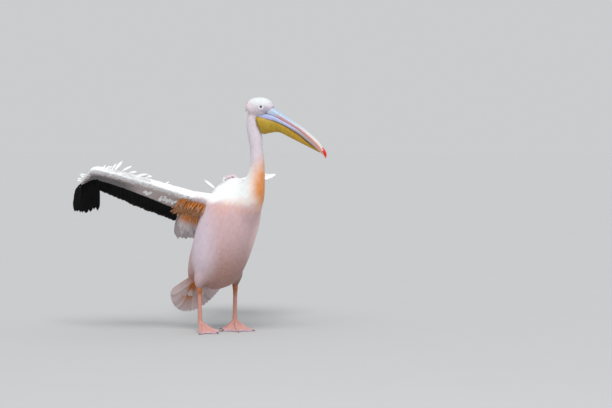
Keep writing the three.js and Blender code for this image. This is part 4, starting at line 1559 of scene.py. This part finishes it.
class PELICAN_OT_tail(bpy.types.Operator):
    """The short fan of tail feathers"""

    bl_idname = "pelican.tail"
    bl_label = "Tail"

    def execute(self, context):
        c = settings().plumage
        quills = Quills(5, 6, 12)

        def add(s, line, half_width, pointed, stain):
            out = np.array([1.0 if s > 0.5 else -1.0, 0, 0])
            flat = dict(twist=0.03, cup=0.05)
            quills.add(line, out, half_width, (0, 1, 0.3), pointed=pointed, stain=stain, **flat)

        for k in range(TAIL_COUNT):
            s = k / (TAIL_COUNT - 1)
            stain = max(0.2, 3.0 - 8 * abs(s - 0.4)) * quills.rng.uniform(0.6, 1)
            add(s, self.line(s, 1.04), 23, 0.2, stain)
        for k in range(TAIL_COVERTS):
            s = (k + 0.5) / TAIL_COVERTS
            line = self.line(s, quills.rng.uniform(0.5, 0.66))
            stain = max(0.5, 4.4 - 10 * abs(s - 0.4)) * quills.rng.uniform(0.7, 1)
            add(s, lambda t, line=line: line(t) + (0, -5, 0), 17, 0.3, stain)
        material = flight_material("Tail feathers", c.tail, c.tail_streak, 0.2, 60, c.rust)
        add_piece("tail_vanes", quills.finish(VANE_THICK), material, "plumage", ["tail"])
        return {"FINISHED"}

    def line(self, s, length):
        """The middle line of the feather at s across the fan."""
        spread = math.radians(TAIL_HALF_SPREAD) * (2 * s - 1) * 1.08
        fall = math.radians(TAIL_FALL)
        arch = 14 * (1 - (2 * s - 1) ** 2)

        def at(t):
            reach = (t * 1.25 - 0.25) * TAIL_LENGTH * length * (0.86 + 0.14 * math.cos(spread * 2))
            out = TAIL_HALF_ROOT * (2 * s - 1) * (0.6 + 0.4 * min(1, t * 4)) + reach * math.sin(spread)
            back = reach * math.cos(spread)
            down = back * math.sin(fall)
            return np.array([out, TAIL_ROOT[1] + back * math.cos(fall) + arch, TAIL_ROOT[2] - down + arch / 2])

        return at


class PELICAN_OT_crest(bpy.types.Operator):
    """Loose wisps that hang from the back of the head"""

    bl_idname = "pelican.crest"
    bl_label = "Crest"

    def execute(self, context):
        c = settings().plumage
        quills = Quills(9, 2, 14)
        rng = quills.rng
        for _ in range(WISPS):
            x = rng.normal(0, 9)
            root = HEAD_AT + turned((x, 58 + rng.uniform(-10, 8), 4 + rng.uniform(-14, 16)))
            length = rng.uniform(28, 56)
            way = unit(np.array([x * 0.02, rng.uniform(0.35, 0.75), -rng.uniform(0.55, 0.95)]))
            tip = root + turned(way * length)
            line = bowed(root, tip, 3.5, turned((0, 8, 0)))
            quills.add(line, turned((1, 0, 0)), rng.uniform(0.9, 2.0), pointed=0.8, blunt=0.97)
        material = flight_material("Crest wisps", c.white, c.lilac, 0.0)
        add_piece("crest_wisps", quills.finish(TUFT_THICK, shafts=False), material, "plumage", ["crest"])
        return {"FINISHED"}


# ---- Bill, pouch and eyes ----------------------------------------------------------------------


def from_tomium(tree, turn):
    """0 on the widest line of a rolled section, on both sides, to 0.25 on its top and bottom."""
    return maths(tree, "PINGPONG", turn, 0.25)


def bill_material():
    """Blue-grey horn, creamy in its outer half, grained lengthwise, with a red line along the cutting edge."""
    c = settings().bare
    material, tree, shader = new_material("Upper bill horn", 0.4, Coat_Weight=0.12)
    turn, along, _ = map_axes(tree, "Wrap")
    rise = from_tomium(tree, turn)
    stretched = node(tree, "ShaderNodeCombineXYZ", {0: times(tree, rise, 90), 1: times(tree, along, 5)})
    grain, blot = noise(tree, stretched.outputs[0], 1, 4), noise(tree, own_place(tree), 40, 4)
    warm_reach = ramp(tree, along, 0.45, 1.0, 0.04, 0.046)
    warm = ramp(tree, maths(tree, "DIVIDE", rise, warm_reach), 1.05, 0.5)
    below = times(tree, rise, ramp(tree, turn, 0.49, 0.51, 1, 0.2))
    red = maths(tree, "LESS_THAN", below, ramp(tree, along, 0.15, 0.9, 0.024, 0.036))
    red = times(tree, red, ramp(tree, along, 0.1, 0.25))
    base = layered(
        tree,
        c.horn,
        (ramp(tree, grain, 0.35, 0.7, 0, 0.7), c.horn_shade),
        (times(tree, ramp(tree, along, 0.1, 0.0), 0.8), c.face),
        (ramp(tree, along, 0.24, 0.8, 0, 0.9), c.horn_pale),
        (times(tree, warm, ramp(tree, along, 0.4, 0.85, 0, 0.6)), c.salmon),
        (times(tree, red, 0.62), c.edge_red),
        (ramp(tree, blot, 0.45, 0.8, 0, 0.2), c.horn_blot),
    )
    paint(tree, shader, base, ramp(tree, blot, 0.3, 0.7, 0.34, 0.55))
    put_bump(tree, shader, grain, 0.25, 0.0006)
    return material


def lower_bill_material():
    """Lavender near the gape, fading to grey and then to red at the tip."""
    c = settings().bare
    material, tree, shader = new_material("Lower bill horn", 0.4, Coat_Weight=0.12)
    _, along, _ = map_axes(tree, "Wrap")
    blot = noise(tree, own_place(tree), 60, 4)
    base = layered(
        tree,
        c.slate,
        (ramp(tree, blot, 0.35, 0.7, 0, 0.5), c.horn_shade),
        (ramp(tree, along, 0.4, 0.66), c.plum),
        (ramp(tree, along, 0.72, 0.95), c.salmon),
    )
    paint(tree, shader, base)
    put_bump(tree, shader, blot, 0.2, 0.0005)
    return material


def nail_material():
    c = settings().bare
    material, tree, shader = new_material("Nail horn", 0.5, Specular_IOR_Level=0.25)
    _, along, _ = map_axes(tree, "Wrap")
    grain = noise(tree, own_place(tree), 150, 3)
    base = layered(
        tree,
        c.nail_root,
        (ramp(tree, along, 0.1, 0.7), c.nail),
        (ramp(tree, along, 0.75, 1.0), c.nail_point),
        (ramp(tree, grain, 0.4, 0.8, 0, 0.2), c.nail_grain),
    )
    paint(tree, shader, base)
    put_bump(tree, shader, grain, 0.15, 0.0003)
    return material


def squared(turn, sharp):
    """A round section drawn out towards a box. sharp is 1 for round and less for squarer."""
    x, z = on_circle(turn)
    return math.copysign(abs(x) ** sharp, x), math.copysign(abs(z) ** sharp, z)


def upper_section(turn, along):
    """The upper bill's section: a rounded middle ridge, a groove on each side and square cutting edges."""
    x, z = on_circle(turn)
    if z < 0:
        return squared(turn, 0.55)
    ridge = math.exp(-((x / 0.26) ** 2)) * 0.16
    groove = math.exp(-(((abs(x) - 0.5) / 0.12) ** 2)) * 0.16
    fade = min(1, max(0, (along - 0.05) / 0.15))
    return math.copysign(abs(x) ** 0.9, x), z**0.8 * (1 + (ridge - groove) * fade)


class PELICAN_OT_bill(bpy.types.Operator):
    """Upper bill with its ridge and grooves, lower bill, and the hooked nail"""

    bl_idname = "pelican.bill"
    bl_label = "Bill"

    def execute(self, context):
        def add_body(name, node_name, slot, material, rows, sides, rings, section):
            bm = new_sheets("Wrap")
            swept(bm, rows, sides, rings, section)
            add_piece(name, mesh_from(bm, "bill"), material, slot, [node_name])

        def round_section(turn, along):
            return on_circle(turn)

        def rail(turn, along):
            x, z = squared(turn, 0.6)
            return x, z * (1.35 - 0.25 * along)

        add_body("bill_upper_horn", "bill_upper", "bill", bill_material(), UPPER_BILL, 48, 70, upper_section)
        add_body("bill_lower_horn", "bill_lower", "bill", lower_bill_material(), LOWER_BILL, 32, 60, rail)
        add_body("nail_horn", "bill_nail", "bill_nail", nail_material(), NAIL, 28, 24, round_section)
        return {"FINISHED"}


def pouch_material():
    c = settings().bare
    material, tree, shader = new_material("Pouch skin", 0.55, Specular_IOR_Level=0.3)
    turn, along, _ = map_axes(tree, "Wrap")
    folds = node(tree, "ShaderNodeCombineXYZ", {0: times(tree, along, 26), 1: times(tree, turn, 7)})
    crease, vein = noise(tree, folds.outputs[0], 1, 5, 0.6), noise(tree, own_place(tree), 28, 6, 0.7)
    base = layered(
        tree,
        c.pouch,
        (ramp(tree, crease, 0.4, 0.65, 0, 0.5), c.pouch_fold),
        (ramp(tree, vein, 0.55, 0.75, 0, 0.5), c.pouch_vein),
        (ramp(tree, along, 0.42, 0.9, 0, 0.6), c.pouch_end),
    )
    paint(tree, shader, base, ramp(tree, vein, 0.3, 0.7, 0.4, 0.62))
    put_bump(tree, shader, maths(tree, "ADD", crease, vein), 0.35, 0.0012)
    return material


class PELICAN_OT_pouch(bpy.types.Operator):
    """The throat pouch, slack near the throat, with soft folds"""

    bl_idname = "pelican.pouch"
    bl_label = "Pouch"

    def execute(self, context):
        rows = law(POUCH)
        rings = 96

        def place(turn, along):
            t = ring_share(along, rings)
            reach, top, bottom, wide = rows(t)
            top += 7 * min(1, t * 6) * (1 - t)
            if along in (0.0, 1.0):
                return on_head((0, reach, (top + bottom) / 2))
            up, out = on_circle(turn)
            slack = max(0, 1 - t * 1.2)
            fold = 0.035 * math.sin(t * 62 + 2.2 * up) * max(0, 0.6 - up) * slack
            fold += 0.02 * math.sin(t * 31 + 5 * up) * max(0, 0.8 - up)
            wide *= (1 + fold) * (0.76 + 0.24 * up)
            return on_head((wide * out, reach, (top + bottom) / 2 + up * (top - bottom) / 2))

        bm = new_sheets("Wrap")
        rolled(bm, 48, rings + 2, place)
        add_piece("pouch_skin", mesh_from(bm, "pouch"), pouch_material(), "pouch", ["pouch"])
        return {"FINISHED"}


def eye_material():
    c = settings().bare
    material, tree, shader = new_material("Eye", 0.06, Coat_Weight=1.0, Coat_Roughness=0.02)
    place = node(tree, "ShaderNodeUVMap", uv_map="Ball").outputs[0]
    ring = axes(tree, place)[1]
    base = layered(
        tree,
        c.iris,
        (ramp(tree, noise(tree, place, 40, 3), 0.3, 0.7), [v * 2.2 for v in c.iris]),
        (ramp(tree, ring, 0.77, 0.8), c.pupil),
        (ramp(tree, ring, 0.66, 0.62), c.eye_rim),
    )
    paint(tree, shader, base)
    return material


class PELICAN_OT_eyes(bpy.types.Operator):
    """Both eyeballs, with iris, pupil and a domed cornea"""

    bl_idname = "pelican.eyes"
    bl_label = "Eyes"

    def execute(self, context):
        material = eye_material()
        for name, side in SIDES.items():
            bm = new_sheets("Ball")
            bmesh.ops.create_uvsphere(bm, u_segments=40, v_segments=26, radius=EYE_RADIUS, calc_uvs=True)
            for v in bm.verts:
                x, y, z = v.co
                dome = 1 + 0.05 * max(0, z / EYE_RADIUS - 0.75) * 4
                v.co = on_head((side * (EYE_OUT + z * dome), -EYE_FRONT + x, EYE_UP + y))
            bmesh.ops.recalc_face_normals(bm, faces=bm.faces)
            add_piece(f"eyeball_{name}", mesh_from(bm, "eye"), material, "eye", [f"eye_{name}"])
        return {"FINISHED"}


# ---- Legs --------------------------------------------------------------------------------------


def leg_material():
    c = settings().bare
    material, tree, shader = new_material("Leg skin", 0.5, Coat_Weight=0.08)
    place = own_place(tree)
    scales, blot = cells(tree, place, 260), noise(tree, place, 55, 4)
    height = axes(tree, place)[2]

    def between(start, end):
        return ramp(tree, height, start * MM, end * MM)

    base = layered(
        tree,
        c.leg,
        (between(46, 20), c.web),
        (times(tree, times(tree, between(6, 11), between(40, 24)), 0.62), c.toe),
        (between(160, 196), c.hock),
        (ramp(tree, blot, 0.4, 0.7, 0, 0.22), c.leg_blot),
        (ramp(tree, scales, 0.08, 0.0, 0, 0.35), c.leg_crack),
    )
    paint(tree, shader, base, ramp(tree, blot, 0.3, 0.7, 0.42, 0.62))
    put_bump(tree, shader, ramp(tree, scales, 0, 0.2), 0.5, 0.0008)
    return material


LEG_VOXEL, SOLE = 1.5 * MM, 1.2 * MM


class PELICAN_OT_legs(bpy.types.Operator):
    """Bare legs and webbed feet, one skin from the hock to the toes"""

    bl_idname = "pelican.legs"
    bl_label = "Legs"

    def execute(self, context):
        material = leg_material()
        for name in SIDES:
            nodes = [f"shank_{name}", f"foot_{name}"]
            mesh = remeshed(merged_copies(nodes, 0.3 * MM), LEG_VOXEL)
            points = points_of(mesh)
            edges = read(mesh.edges, "vertices", 2, np.int32)
            on_floor = points[:, 2] < points[:, 2].min() + SOLE
            points = relaxed(points, edges, np.where(on_floor, 0.0, 0.35), 10)
            points[:, 2] = np.maximum(points[:, 2], 0.0)
            move_to(mesh, points)
            mesh.shade_smooth()
            add_piece(f"leg_skin_{name}", mesh, material, "leg", nodes)
        return {"FINISHED"}


def claw_material():
    c = settings().bare
    material, tree, shader = new_material("Claw horn", 0.35, Coat_Weight=0.2)
    grain = noise(tree, own_place(tree), 220, 3)
    paint(tree, shader, blend(tree, grain, c.claw, [v * 0.4 for v in c.claw]))
    put_bump(tree, shader, grain, 0.15, 0.0002)
    return material


class PELICAN_OT_claws(bpy.types.Operator):
    """A smooth claw on each toe"""

    bl_idname = "pelican.claws"
    bl_label = "Claws"

    def execute(self, context):
        material = claw_material()
        for name in SIDES:
            for toe in ("hind", "inner", "middle", "outer"):
                obj = new_object("scratch", merged_copies([f"claw_{toe}_{name}"], 0))
                rounder = obj.modifiers.new("Round", "SUBSURF")
                rounder.levels = rounder.render_levels = 2
                mesh = baked(obj)
                mesh.shade_smooth()
                add_piece(f"claw_horn_{toe}_{name}", mesh, material, "claw", [f"claw_{toe}_{name}"])
        return {"FINISHED"}


# ---- Stage -------------------------------------------------------------------------------------


# Half the floor's side and the camera's sight in metres, the camera's sensor in millimetres.
FLOOR_REACH, SIGHT, SENSOR_WIDTH = 150, 400, 36
# The overhead light's spread in degrees, the front lamp's width and the height that it aims at.
SUN_SPREAD, FRONT_SIZE, FRONT_AIM = 35, 1.6, 0.6


class PELICAN_OT_stage(bpy.types.Operator):
    """Plain floor, soft studio lights and the camera"""

    bl_idname = "pelican.stage"
    bl_label = "Stage"

    def execute(self, context):
        scene = context.scene
        stage = settings().stage
        bm = bmesh.new()
        bmesh.ops.create_grid(bm, x_segments=1, y_segments=1, size=FLOOR_REACH)
        floor = new_object("floor", mesh_from(bm, "floor"))
        material, tree, shader = new_material("Studio floor", 0.9)
        grain = noise(tree, own_place(tree), 3, 5)
        paint(tree, shader, blend(tree, grain, stage.floor, [v * 0.97 for v in stage.floor]))
        floor.data.materials.append(material)
        world = bpy.data.worlds.new("Studio air")
        world.use_nodes = True
        air = world.node_tree.nodes["Background"]
        air.inputs[0].default_value = (*stage.air, 1)
        air.inputs[1].default_value = stage.air_light
        scene.world = world
        sun = bpy.data.lights.new("overhead", "SUN")
        sun.energy = stage.overhead_light
        sun.angle = math.radians(SUN_SPREAD)
        sun.color = stage.overhead
        self.place(sun, stage.overhead_at, (0, 0, 0))
        front = bpy.data.lights.new("front", "AREA")
        front.shape = "DISK"
        front.size = FRONT_SIZE
        front.energy = stage.front_light
        self.place(front, stage.front_at, (0, 0, FRONT_AIM))
        camera = new_object("camera", bpy.data.cameras.new("camera"))
        camera.data.lens = stage.lens
        camera.data.sensor_width = SENSOR_WIDTH
        camera.data.clip_end = SIGHT
        self.aim(camera, *(Vector(ORIGIN) + Vector(point) for point in (stage.eye_point, stage.target)))
        scene.camera = camera
        scene.view_settings.view_transform = "Standard"
        return {"FINISHED"}

    def place(self, lamp, at, target):
        self.aim(new_object(lamp.name, lamp), Vector(at), Vector(target))

    def aim(self, obj, at, target):
        obj.location = at
        obj.rotation_euler = (target - at).to_track_quat("-Z", "Y").to_euler()


# ---- Panel and run -----------------------------------------------------------------------------

STEPS = [
    PELICAN_OT_skin, PELICAN_OT_coat, PELICAN_OT_flight, PELICAN_OT_tail, PELICAN_OT_crest, PELICAN_OT_bill,
    PELICAN_OT_pouch, PELICAN_OT_eyes, PELICAN_OT_legs, PELICAN_OT_claws, PELICAN_OT_stage,
]


class PELICAN_PT_panel(bpy.types.Panel):
    bl_idname = "PELICAN_PT_panel"
    bl_label = "Pelican"
    bl_space_type = "VIEW_3D"
    bl_region_type = "UI"
    bl_category = "Pelican"

    def draw(self, context):
        for group in (settings().plumage, settings().bare, settings().stage):
            box = self.layout.box()
            for key in group.bl_rna.properties.keys():
                if key not in ("rna_type", "name"):
                    box.prop(group, key)
        for step in STEPS:
            self.layout.operator(step.bl_idname)


CLASSES = [PlumageSettings, BareSettings, StageSettings, PelicanSettings, *STEPS, PELICAN_PT_panel]


def register():
    for cls in CLASSES:
        bpy.utils.register_class(cls)
    bpy.types.Scene.pelican = bpy.props.PointerProperty(type=PelicanSettings)


def unregister():
    del bpy.types.Scene.pelican
    for cls in reversed(CLASSES):
        bpy.utils.unregister_class(cls)


def main():
    register()
    for step in STEPS:
        area, name = step.bl_idname.split(".")
        getattr(getattr(bpy.ops, area), name)()


if __name__ == "__main__":
    main()
